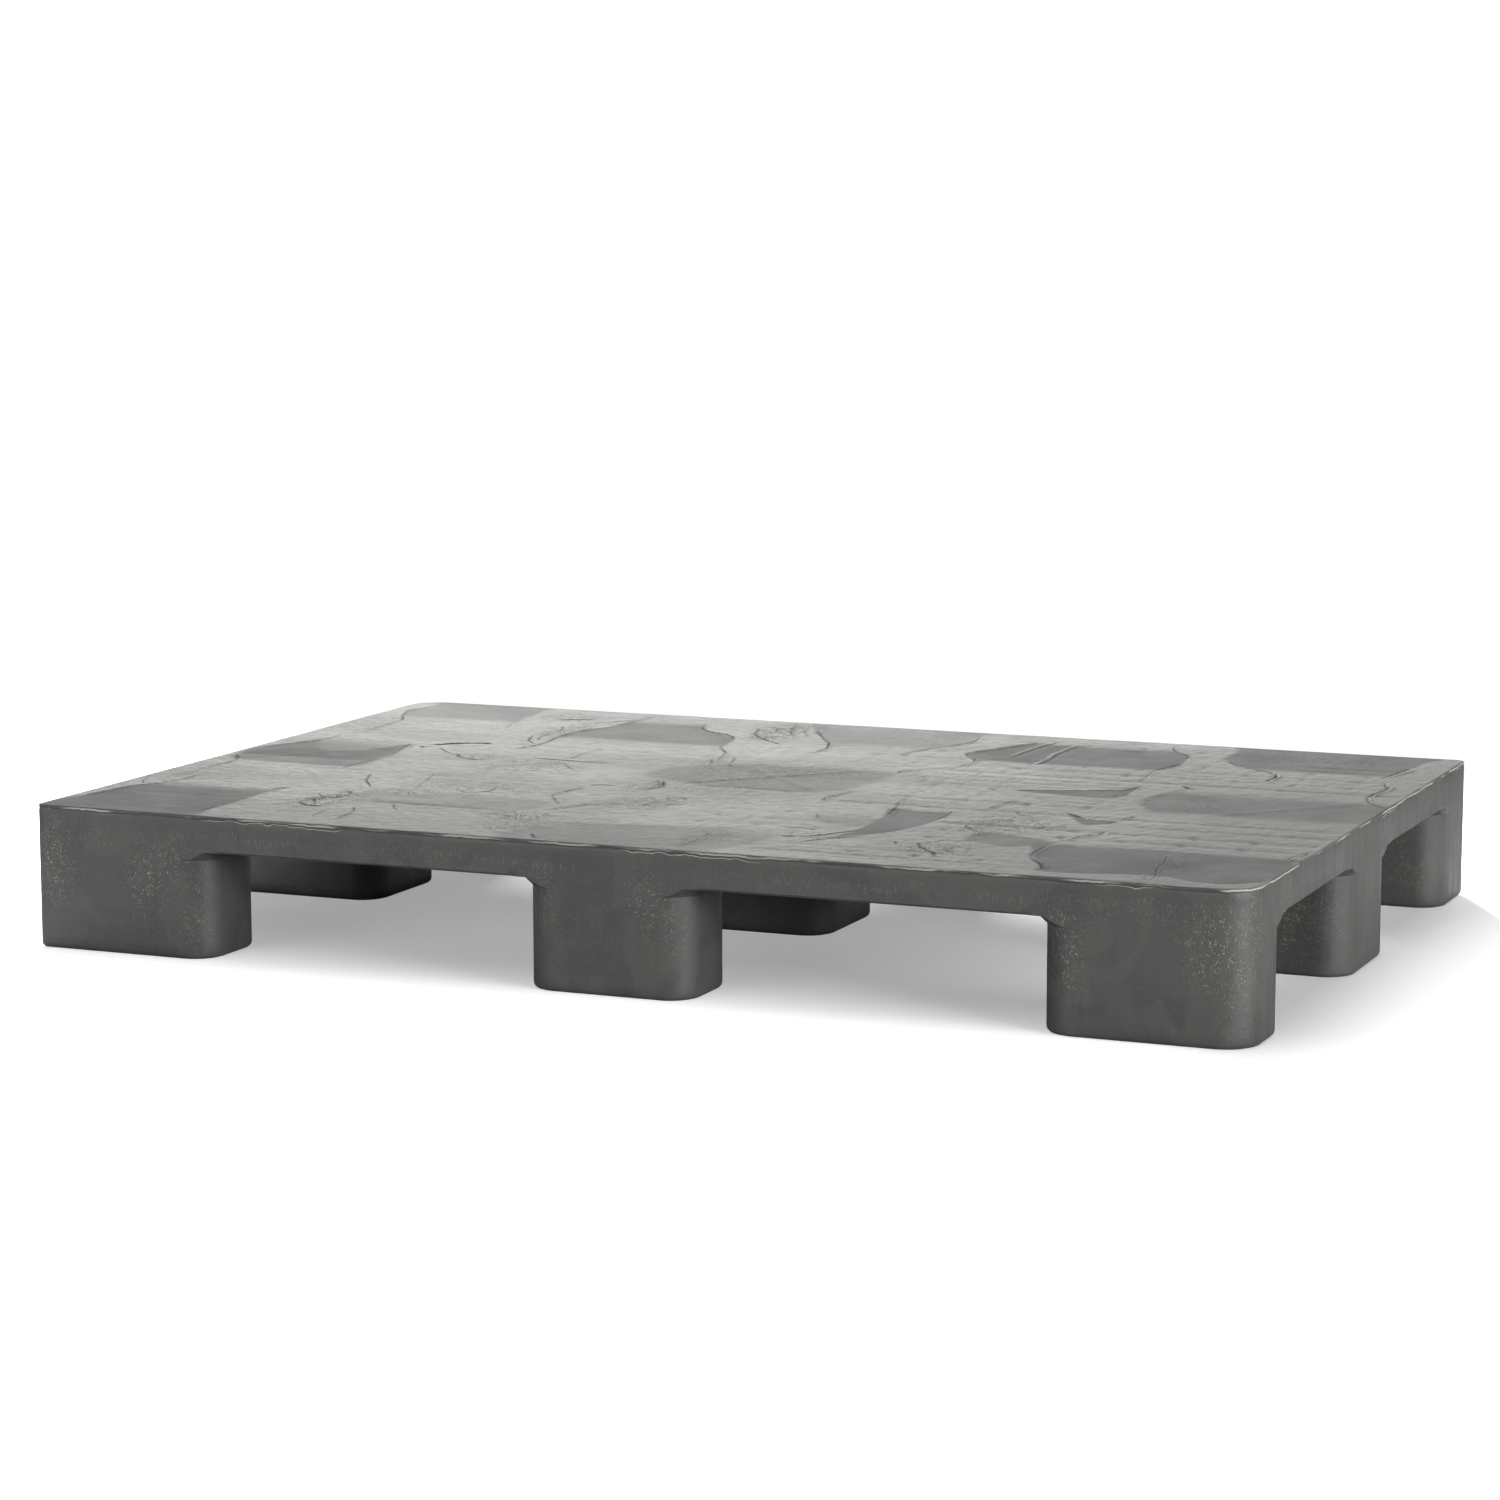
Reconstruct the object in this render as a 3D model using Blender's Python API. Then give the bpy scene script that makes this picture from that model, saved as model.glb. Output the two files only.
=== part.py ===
"""Nine-foot plastic pallet, 1200 x 800 x 140 mm, four-way entry.

A ribbed deck moulded from recycled plastic stands on nine hollow feet of the same plastic, welded
to its underside. A cross of diagonal webs fills each foot and goes on up into the deck. Two
galvanised steel tubes lie in channels in the underside, beside the middle row of feet. Each tube
has a plug in both ends and is held up by three U-shaped retainers.

Metres, +Z up, +X along the long side, front at -Y. The origin is on the floor, under the middle.
"""

import math

import bmesh
import bpy

# Whole pallet
LENGTH = 1.200
WIDTH = 0.800
HEIGHT = 0.140
GAP = 0.0003                    # left between pieces that touch

# Deck
DECK_THICKNESS = 0.036
DECK_SKIN = 0.007               # solid plastic above the rib pockets
RIM_WALL = 0.010                # wall round the deck, outside the pockets
RIB = 0.005
RIB_PITCH_X = 0.055
RIB_PITCH_Y = 0.039
TOP_EDGE = 0.0015               # small chamfer round the top
WIDE_CORNER = 0.035             # plan radius at front right and rear left
TIGHT_CORNER = 0.010            # plan radius at front left and rear right

# Feet
END_FOOT_LENGTH = 0.190         # along X, at both ends
MIDDLE_FOOT_LENGTH = 0.165
SIDE_FOOT_WIDTH = 0.100         # along Y, at front and rear
CENTRE_FOOT_WIDTH = 0.145
FOOT_CORNER = 0.030
FOOT_FLARE = 0.009              # 45 degree spread where a foot meets the deck
FOOT_SOLE_BEVEL = 0.005
FOOT_WALL = 0.008
FOOT_SOLE = 0.009
FOOT_WEB = 0.007                # each of the two diagonal webs in a foot

# Steel tubes and what holds them
TUBE_SIDE = 0.020
TUBE_WALL = 0.002
TUBE_CORNER = 0.003
TUBE_LENGTH = 1.100
TUBE_Y = 0.110
PLUG_FLANGE = 0.003
PLUG_STUB = 0.016
RETAINER_LENGTH = 0.050
RETAINER_WALL = 0.004
RETAINER_X = (-0.400, 0.0, 0.400)
CHANNEL_CLEARANCE = 0.001       # beside the tube

ARC_STEPS = 5
FLARE_STEPS = 2

DECK_BOTTOM = HEIGHT - DECK_THICKNESS
POCKET_TOP = HEIGHT - DECK_SKIN
RETAINER_BOTTOM = DECK_BOTTOM + GAP
TUBE_BOTTOM = RETAINER_BOTTOM + RETAINER_WALL + GAP
TUBE_Z = TUBE_BOTTOM + TUBE_SIDE / 2
CHANNEL_TOP = TUBE_BOTTOM + TUBE_SIDE + GAP
CHANNEL_HALF_WIDTH = TUBE_SIDE / 2 + CHANNEL_CLEARANCE
RETAINER_HALF_WIDTH = TUBE_SIDE / 2 + GAP + RETAINER_WALL
CHANNEL_HALF_LENGTH = TUBE_LENGTH / 2 + GAP + PLUG_FLANGE + GAP


# ---------------------------------------------------------------- scene and materials

def clear_scene():
    for item in list(bpy.data.objects):
        bpy.data.objects.remove(item, do_unlink=True)


def plastic_or_metal(name, colour, roughness, metallic=0.0):
    made = bpy.data.materials.new(name)
    made.use_nodes = True
    shader = made.node_tree.nodes["Principled BSDF"]
    shader.inputs["Base Color"].default_value = (*colour, 1.0)
    shader.inputs["Roughness"].default_value = roughness
    shader.inputs["Metallic"].default_value = metallic
    return made


def new_object(name, shape, finish=None, parent=None, location=(0, 0, 0), turn=0.0):
    """An object from a finished bmesh, or from a mesh that another object already uses."""
    mesh = shape
    if isinstance(shape, bmesh.types.BMesh):
        bmesh.ops.recalc_face_normals(shape, faces=shape.faces)
        mesh = bpy.data.meshes.new(name)
        shape.to_mesh(mesh)
        shape.free()
        if finish:
            mesh.materials.append(finish)
    made = bpy.data.objects.new(name, mesh)
    made.parent = parent
    made.location = location
    made.rotation_euler.z = turn
    bpy.context.collection.objects.link(made)
    return made


def new_cutter(name, shape, parent):
    cutter = new_object(name, shape, parent=parent)
    cutter.hide_render = True
    cutter.display_type = "WIRE"
    return cutter


def cut(target, cutter):
    modifier = target.modifiers.new(cutter.name, "BOOLEAN")
    modifier.operation = "DIFFERENCE"
    modifier.solver = "EXACT"
    modifier.object = cutter


# ---------------------------------------------------------------- outlines and solids

def outline(low, high, radii, grow=(0, 0, 0, 0), steps=ARC_STEPS):
    """Rounded rectangle, counter-clockwise from its front right corner.

    radii: front right, rear right, rear left, front left. grow: how far the right, rear, left and
    front sides stand out from the rectangle. Where only one of a corner's two sides is grown, the
    grown arc is cut off flat by the other side.
    """
    right, rear, left, front = grow
    sides = ((high[0], low[1], right, front), (high[0], high[1], right, rear),
             (low[0], high[1], left, rear), (low[0], low[1], left, front))
    points = []
    for number, (x, y, grow_x, grow_y) in enumerate(sides):
        radius = radii[number]
        sign_x = 1 if number in (0, 1) else -1
        sign_y = 1 if number in (1, 2) else -1
        middle = (x - sign_x * radius, y - sign_y * radius)
        spread = max(grow_x, grow_y)
        if radius + spread == 0:
            points.append((x, y))
            continue
        lean = math.acos(radius / (radius + spread))
        near_x = 0 if grow_x == spread else lean
        near_y = math.pi / 2 if grow_y == spread else math.pi / 2 - lean
        angles = [near_x + (near_y - near_x) * k / steps for k in range(steps + 1)]
        arc = [(middle[0] + sign_x * (radius + spread) * math.cos(a),
                middle[1] + sign_y * (radius + spread) * math.sin(a)) for a in angles]
        points += arc if sign_x == sign_y else arc[::-1]
    return points


def add_loft(shape, rings, capped=True):
    """Joins rings of equal length, each a list of points with its height, into a closed skin."""
    loops = [[shape.verts.new((x, y, z)) for x, y in points] for points, z in rings]
    count = len(loops[0])
    for lower, upper in zip(loops, loops[1:]):
        for k in range(count):
            following = (k + 1) % count
            shape.faces.new((lower[k], lower[following], upper[following], upper[k]))
    if capped:
        shape.faces.new(loops[0][::-1])
        shape.faces.new(loops[-1])
    return loops


def add_prism(shape, points, bottom, top):
    add_loft(shape, [(points, bottom), (points, top)])


def corners_of(low, high):
    return [(high[0], low[1]), (high[0], high[1]), (low[0], high[1]), (low[0], low[1])]


# ---------------------------------------------------------------- feet

def foot_plan():
    """Every foot's name, low and high corner in plan, and corner radii."""
    end_x = LENGTH / 2 - END_FOOT_LENGTH
    side_y = WIDTH / 2 - SIDE_FOOT_WIDTH
    columns = {"left": (-LENGTH / 2, -end_x),
               "middle": (-MIDDLE_FOOT_LENGTH / 2, MIDDLE_FOOT_LENGTH / 2),
               "right": (end_x, LENGTH / 2)}
    rows = {"front": (-WIDTH / 2, -side_y),
            "middle": (-CENTRE_FOOT_WIDTH / 2, CENTRE_FOOT_WIDTH / 2),
            "rear": (side_y, WIDTH / 2)}
    deck_corners = {("front", "right"): (0, WIDE_CORNER), ("rear", "right"): (1, TIGHT_CORNER),
                    ("rear", "left"): (2, WIDE_CORNER), ("front", "left"): (3, TIGHT_CORNER)}
    plan = {}
    for row, (y_low, y_high) in rows.items():
        for column, (x_low, x_high) in columns.items():
            name = "foot_centre" if row == column == "middle" else f"foot_{row}_{column}"
            radii = [FOOT_CORNER] * 4
            if (row, column) in deck_corners:
                place, radius = deck_corners[row, column]
                radii[place] = radius
            plan[name] = ((x_low, y_low), (x_high, y_high), radii)
    return plan


def free_sides(low, high):
    """1 for each of the right, rear, left and front sides that isn't flush with the deck's edge."""
    return (int(high[0] < LENGTH / 2), int(high[1] < WIDTH / 2),
            int(low[0] > -LENGTH / 2), int(low[1] > -WIDTH / 2))


def make_cavity(name, low, high, radii, parent):
    """Cutter for the hollow in a foot and in the deck above it, with the two webs left standing."""
    inner_low = (low[0] + FOOT_WALL, low[1] + FOOT_WALL)
    inner_high = (high[0] - FOOT_WALL, high[1] - FOOT_WALL)
    inner = outline(inner_low, inner_high, [radius - FOOT_WALL for radius in radii])
    shape = bmesh.new()
    add_prism(shape, inner, FOOT_SOLE, POCKET_TOP)
    cavity = new_cutter(name + "_cavity", shape, parent)
    middle = ((low[0] + high[0]) / 2, (low[1] + high[1]) / 2, 0.0)
    span_x, span_y = inner_high[0] - inner_low[0], inner_high[1] - inner_low[1]
    half_web = math.hypot(span_x, span_y) / 2
    lean = math.atan2(span_y, span_x)
    for number, turn in enumerate((lean, -lean)):
        shape = bmesh.new()
        ends = corners_of((-half_web, -FOOT_WEB / 2), (half_web, FOOT_WEB / 2))
        add_prism(shape, ends, 0.0, HEIGHT)
        web = new_cutter(f"{name}_web_{number}", shape, parent)
        web.location = middle
        web.rotation_euler.z = turn
        cut(cavity, web)
    return cavity


def make_foot(name, low, high, radii, cavity, finish, parent):
    middle = ((low[0] + high[0]) / 2, (low[1] + high[1]) / 2)
    sides = free_sides(low, high)
    low_here = (low[0] - middle[0], low[1] - middle[1])
    high_here = (high[0] - middle[0], high[1] - middle[1])
    top = DECK_BOTTOM - GAP

    def ring(grow, z):
        return outline(low_here, high_here, radii, [grow * side for side in sides]), z

    bevel = FOOT_SOLE_BEVEL
    sole_low = (low_here[0] + bevel, low_here[1] + bevel)
    sole_high = (high_here[0] - bevel, high_here[1] - bevel)
    sole = outline(sole_low, sole_high, [max(radius - bevel, bevel) for radius in radii])
    rings = [(sole, 0.0), ring(0.0, bevel)]
    for step in range(FLARE_STEPS + 1):
        grown = FOOT_FLARE * step / FLARE_STEPS
        rings.append(ring(grown, top - FOOT_FLARE + grown))
    shape = bmesh.new()
    add_loft(shape, rings)
    foot = new_object(name, shape, finish, parent, (*middle, 0.0))
    cut(foot, cavity)


# ---------------------------------------------------------------- deck

def cells(low, high, pitch):
    """Splits a length into equal cells about one pitch long, with a rib between neighbours."""
    count = round((high - low) / pitch)
    step = (high - low + RIB) / count
    return [(low + k * step, low + (k + 1) * step - RIB) for k in range(count)]


def add_pockets(shape, x_range, y_range):
    for x_low, x_high in cells(*x_range, RIB_PITCH_X):
        for y_low, y_high in cells(*y_range, RIB_PITCH_Y):
            add_prism(shape, corners_of((x_low, y_low), (x_high, y_high)), 0.0, POCKET_TOP)


def channel_outline(side):
    """A tube's channel in plan, with a wider bay for each retainer, at side * TUBE_Y."""
    along = [(-CHANNEL_HALF_LENGTH, CHANNEL_HALF_WIDTH)]
    for x in RETAINER_X:
        start, end = x - RETAINER_LENGTH / 2 - GAP, x + RETAINER_LENGTH / 2 + GAP
        wide = RETAINER_HALF_WIDTH + GAP
        along += [(start, CHANNEL_HALF_WIDTH), (start, wide), (end, wide), (end, CHANNEL_HALF_WIDTH)]
    along.append((CHANNEL_HALF_LENGTH, CHANNEL_HALF_WIDTH))
    middle = side * TUBE_Y
    return [(x, middle - y) for x, y in along] + [(x, middle + y) for x, y in reversed(along)]


def make_deck(cavities, finish, parent):
    low, high = (-LENGTH / 2, -WIDTH / 2), (LENGTH / 2, WIDTH / 2)
    radii = [WIDE_CORNER, TIGHT_CORNER, WIDE_CORNER, TIGHT_CORNER]
    face_low = (low[0] + TOP_EDGE, low[1] + TOP_EDGE)
    face_high = (high[0] - TOP_EDGE, high[1] - TOP_EDGE)
    edge = outline(low, high, radii)
    face = outline(face_low, face_high, [radius - TOP_EDGE for radius in radii])
    shape = bmesh.new()
    add_loft(shape, [(edge, DECK_BOTTOM), (edge, HEIGHT - TOP_EDGE), (face, HEIGHT)])
    deck = new_object("deck", shape, finish, parent)

    hollows = bmesh.new()
    beside = FOOT_FLARE + RIB
    end_x = LENGTH / 2 - END_FOOT_LENGTH - beside
    middle_x = MIDDLE_FOOT_LENGTH / 2 + beside
    side_y = WIDTH / 2 - SIDE_FOOT_WIDTH - beside
    centre_y = CENTRE_FOOT_WIDTH / 2
    channel_y = TUBE_Y + RETAINER_HALF_WIDTH + GAP + RIB
    rim_x, rim_y = LENGTH / 2 - RIM_WALL, WIDTH / 2 - RIM_WALL
    for side in (-1, 1):
        add_prism(hollows, channel_outline(side), 0.0, CHANNEL_TOP)
        bay = sorted((side * channel_y, side * side_y))
        edge_strip = sorted((side * (side_y + beside), side * rim_y))
        add_pockets(hollows, (-rim_x, rim_x), bay)
        for end in (-1, 1):
            between = sorted((end * middle_x, end * end_x))
            add_pockets(hollows, between, edge_strip)
            if side == 1:
                add_pockets(hollows, between, (-centre_y, centre_y))
    cut(deck, new_cutter("deck_pockets", hollows, parent))
    for cavity in cavities:
        cut(deck, cavity)


# ---------------------------------------------------------------- steel tubes

def add_square_tube(shape):
    """A square tube along X, open at both ends."""
    half = TUBE_SIDE / 2
    bore = half - TUBE_WALL
    outer = outline((-half, -half), (half, half), [TUBE_CORNER] * 4, steps=2)
    inner = outline((-bore, -bore), (bore, bore), [TUBE_CORNER - TUBE_WALL] * 4, steps=2)
    count = len(outer)
    ends = []
    for x in (-TUBE_LENGTH / 2, TUBE_LENGTH / 2):
        ends.append([[shape.verts.new((x, y, z)) for y, z in points] for points in (outer, inner)])
    for k in range(count):
        following = (k + 1) % count
        for wall in (0, 1):
            left, right = ends[0][wall], ends[1][wall]
            shape.faces.new((left[k], left[following], right[following], right[k]))
        for end in ends:
            shape.faces.new((end[0][k], end[0][following], end[1][following], end[1][k]))


def add_plug(shape):
    """An end plug that points along +X: a stub in the bore, and a flange over the tube's end."""
    bore = TUBE_SIDE / 2 - TUBE_WALL - GAP
    flange = TUBE_SIDE / 2
    stub = outline((-bore, -bore), (bore, bore), [TUBE_CORNER - TUBE_WALL] * 4, steps=2)
    head = outline((-flange, -flange), (flange, flange), [TUBE_CORNER] * 4, steps=2)
    add_loft(shape, [(stub, -PLUG_STUB), (stub, GAP), (head, GAP), (head, GAP + PLUG_FLANGE)])
    for vert in shape.verts:
        y, z, x = vert.co
        vert.co = (x, y, z)


def add_retainer(shape):
    """A U along X, open at the top, that a tube lies in. Its own origin is under the middle."""
    outer, inner = RETAINER_HALF_WIDTH, RETAINER_HALF_WIDTH - RETAINER_WALL
    top = CHANNEL_TOP - GAP - RETAINER_BOTTOM
    profile = [(-outer, 0.0), (outer, 0.0), (outer, top), (inner, top),
               (inner, RETAINER_WALL), (-inner, RETAINER_WALL), (-inner, top), (-outer, top)]
    add_prism(shape, profile, -RETAINER_LENGTH / 2, RETAINER_LENGTH / 2)
    for vert in shape.verts:
        y, z, x = vert.co
        vert.co = (x, y, z)


def make_reinforcement(steel, plug_finish, retainer_finish, parent):
    plug_mesh = retainer_mesh = tube_mesh = None
    for row, side in (("front", -1), ("rear", 1)):
        y = side * TUBE_Y
        if tube_mesh is None:
            shape = bmesh.new()
            add_square_tube(shape)
        tube = new_object(f"reinforcement_tube_{row}", tube_mesh or shape, steel, parent,
                          (0.0, y, TUBE_Z))
        tube_mesh = tube.data
        for end, sign in (("left", -1), ("right", 1)):
            if plug_mesh is None:
                shape = bmesh.new()
                add_plug(shape)
            turn = 0.0 if sign == 1 else math.pi
            plug = new_object(f"tube_end_plug_{row}_{end}", plug_mesh or shape, plug_finish, parent,
                              (sign * TUBE_LENGTH / 2, y, TUBE_Z), turn)
            plug_mesh = plug.data
        for place, x in zip(("left", "middle", "right"), RETAINER_X):
            if retainer_mesh is None:
                shape = bmesh.new()
                add_retainer(shape)
            retainer = new_object(f"tube_retainer_{row}_{place}", retainer_mesh or shape,
                                  retainer_finish, parent, (x, y, RETAINER_BOTTOM))
            retainer_mesh = retainer.data


def main():
    clear_scene()
    deck_finish = plastic_or_metal("deck_recycled_plastic", (0.125, 0.127, 0.120), 0.50)
    foot_finish = plastic_or_metal("foot_recycled_plastic", (0.085, 0.088, 0.083), 0.60)
    steel = plastic_or_metal("galvanised_steel", (0.55, 0.57, 0.58), 0.42, 1.0)
    plug_finish = plastic_or_metal("plug_black_plastic", (0.020, 0.020, 0.020), 0.55)
    retainer_finish = plastic_or_metal("retainer_grey_plastic", (0.045, 0.047, 0.045), 0.55)
    pallet = bpy.data.objects.new("pallet", None)
    bpy.context.collection.objects.link(pallet)
    plan = foot_plan()
    cavities = {name: make_cavity(name, *shape, pallet) for name, shape in plan.items()}
    make_deck(cavities.values(), deck_finish, pallet)
    for name, (low, high, radii) in plan.items():
        make_foot(name, low, high, radii, cavities[name], foot_finish, pallet)
    make_reinforcement(steel, plug_finish, retainer_finish, pallet)


main()
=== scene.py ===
"""Looks of a nine-foot pallet moulded from recycled plastic.

The deck and the nine feet are new pieces of the same size as the CAD's, with the relief and the
finish of rough injection moulding: smooth dark skin above the thick sections, streaky lighter skin
between them, creases where melt fronts met, and sink marks above the ribs. The steel tubes, their
plugs and their retainers are the CAD's own.

Metres, +Z up, +X along the long side, front at -Y. Lengths named MM are millimetres.
"""

import math

import bmesh
import bpy
import numpy as np
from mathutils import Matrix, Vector


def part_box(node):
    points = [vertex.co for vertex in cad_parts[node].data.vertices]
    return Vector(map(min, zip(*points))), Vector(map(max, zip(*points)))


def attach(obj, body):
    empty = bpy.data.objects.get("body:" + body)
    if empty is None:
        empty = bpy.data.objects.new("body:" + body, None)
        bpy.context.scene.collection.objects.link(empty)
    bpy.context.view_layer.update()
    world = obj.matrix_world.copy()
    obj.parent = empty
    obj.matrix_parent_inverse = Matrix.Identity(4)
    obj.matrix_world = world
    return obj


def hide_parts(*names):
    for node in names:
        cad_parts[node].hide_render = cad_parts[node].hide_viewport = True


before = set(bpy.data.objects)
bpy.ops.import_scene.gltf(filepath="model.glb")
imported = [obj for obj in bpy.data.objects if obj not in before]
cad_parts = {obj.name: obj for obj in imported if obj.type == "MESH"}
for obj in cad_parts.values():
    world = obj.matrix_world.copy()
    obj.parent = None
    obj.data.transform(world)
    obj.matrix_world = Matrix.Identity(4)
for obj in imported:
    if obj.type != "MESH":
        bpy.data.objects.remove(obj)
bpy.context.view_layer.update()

MM = 0.001
DECK_LOW, DECK_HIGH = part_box("deck")
HALF_X, HALF_Y = DECK_HIGH.x, DECK_HIGH.y
TOP, DECK_BOTTOM = DECK_HIGH.z, DECK_LOW.z
WIDE_CORNER, TIGHT_CORNER = 0.035, 0.010
DECK_RADII = (WIDE_CORNER, TIGHT_CORNER, WIDE_CORNER, TIGHT_CORNER)   # from front right, turning left

# Underside, as in the CAD
POCKET_TOP = TOP - 0.007
POCKET_DRAFT = 0.0006
RIB = 0.005
RIB_PITCH_X, RIB_PITCH_Y = 0.055, 0.039
RIM_WALL = 0.010
TUBE_Y = 0.110
CHANNEL_TOP = 0.1289
CHANNEL_HALF_LENGTH, CHANNEL_HALF_WIDTH = 0.5536, 0.011
RETAINER_X = (-0.4, 0.0, 0.4)
RETAINER_HALF_LENGTH, RETAINER_HALF_WIDTH = 0.0253, 0.0146
CUT_START, CAVITY_OVERSHOOT = 0.002, 0.010   # how far cutters reach past the faces they open

# Feet, as in the CAD: lengths along X of the end and middle ones, along Y of the side and middle ones
END_FOOT, MIDDLE_FOOT, SIDE_FOOT, CENTRE_FOOT = 0.190, 0.165, 0.100, 0.145
FOOT_CORNER, FOOT_FLARE, FOOT_WALL, FOOT_SOLE = 0.030, 0.009, 0.008, 0.009
SOLE_BEVEL = 0.005
FOOT_STEP = 0.006   # longest side between two vertices of a foot's rings

# The deck's edge
EDGE_ROUND = 0.0024
EDGE_RAGGED = 0.0005
BOTTOM_CHAMFER = 0.0016
SIDE_RINGS = (0.1364, 0.1352, 0.1340, 0.1322, 0.1280, 0.1220, 0.1150, 0.1090, 0.1060)

# The top's skin. Its deepest dent is shallower than TOP_ZONE.
TOP_ZONE = 0.006
SKIN_CEILING = 1.05   # mm that the skin's middle lies under the deck's highest point
FAR_FROM_PATCH, FAR_FROM_CREASE = 8.0, 6.0   # limits of the two distances, in widths of their edges


# ---------------------------------------------------------------- numbers and noise

def smooth(start, end, value):
    t = np.clip((value - start) / (end - start), 0.0, 1.0)
    return t * t * (3 - 2 * t)


class Noise:
    """Smooth random field in space, from -1 to 1. It repeats every 32 grains."""

    def __init__(self, seed):
        self.table = np.random.default_rng(seed).random((32, 32, 32)) * 2 - 1

    def __call__(self, x, y, z=0.0, size=0.05):
        """size: the field's grain in metres, one number or one for each axis."""
        sizes = (size,) * 3 if np.isscalar(size) else size
        cells, shares = [], []
        for value, step in zip(np.broadcast_arrays(x, y, z), sizes):
            scaled = np.asarray(value, float) / step + 7.3
            cell = np.floor(scaled)
            part = scaled - cell
            cells.append(cell.astype(int))
            shares.append(part * part * (3 - 2 * part))
        total = np.zeros(cells[0].shape)
        for corner in range(8):
            weight, index = 1.0, []
            for axis in range(3):
                step = corner >> axis & 1
                weight = weight * (shares[axis] if step else 1 - shares[axis])
                index.append((cells[axis] + step) % 32)
            total += weight * self.table[tuple(index)]
        return total

    def rough(self, x, y, z=0.0, size=0.05, octaves=3):
        sizes = np.array((size,) * 3 if np.isscalar(size) else size)
        total, weight = 0.0, 1.0
        for octave in range(octaves):
            total = total + weight * self(x, y, z, tuple(sizes / 2 ** octave))
            weight *= 0.5
        return total / (2 - 2 * weight)


WARP_X, WARP_Y, SWELL, EDGE_NOISE, RAGGED = (Noise(seed) for seed in (11, 12, 13, 14, 15))


def curve_through(points, steps=6, closed=False):
    """A smooth line through the points, in metres, given in millimetres."""
    points = np.array(points, float) * MM
    if closed:
        points = np.vstack([points[-1:], points, points[:2]])
    else:
        points = np.vstack([2 * points[:1] - points[1:2], points, 2 * points[-1:] - points[-2:-1]])
    line = []
    for p0, p1, p2, p3 in zip(points, points[1:], points[2:], points[3:]):
        for t in np.arange(steps) / steps:
            line.append(0.5 * (2 * p1 + (p2 - p0) * t + (2 * p0 - 5 * p1 + 4 * p2 - p3) * t ** 2
                               + (3 * p1 - p0 - 3 * p2 + p3) * t ** 3))
    if not closed:
        line.append(points[-2])
    return np.array(line)


def distance_to(line, x, y, closed=False):
    """Distance of every point to the line, its side of it as a sign, and how far along it is."""
    ends = np.roll(line, -1, axis=0) if closed else line[1:]
    starts = line if closed else line[:-1]
    best = np.full(x.shape, 1e9)
    side = np.ones(x.shape)
    along = np.zeros(x.shape)
    inside = np.zeros(x.shape, bool)
    count = len(starts)
    for number, ((ax, ay), (bx, by)) in enumerate(zip(starts, ends)):
        dx, dy = bx - ax, by - ay
        length = dx * dx + dy * dy
        if length == 0:
            continue
        px, py = x - ax, y - ay
        t = np.clip((px * dx + py * dy) / length, 0, 1)
        gap = (px - t * dx) ** 2 + (py - t * dy) ** 2
        nearer = gap < best
        best = np.where(nearer, gap, best)
        side = np.where(nearer, np.sign(dx * py - dy * px), side)
        along = np.where(nearer, (number + t) / count, along)
        if closed and dy != 0:
            crosses = ((ay > y) != (by > y)) & (px < dx * (y - ay) / dy)
            inside ^= crosses
    best = np.sqrt(best)
    return (np.where(inside, -best, best) if closed else best * side), along


# ---------------------------------------------------------------- what the top's skin shows

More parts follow.
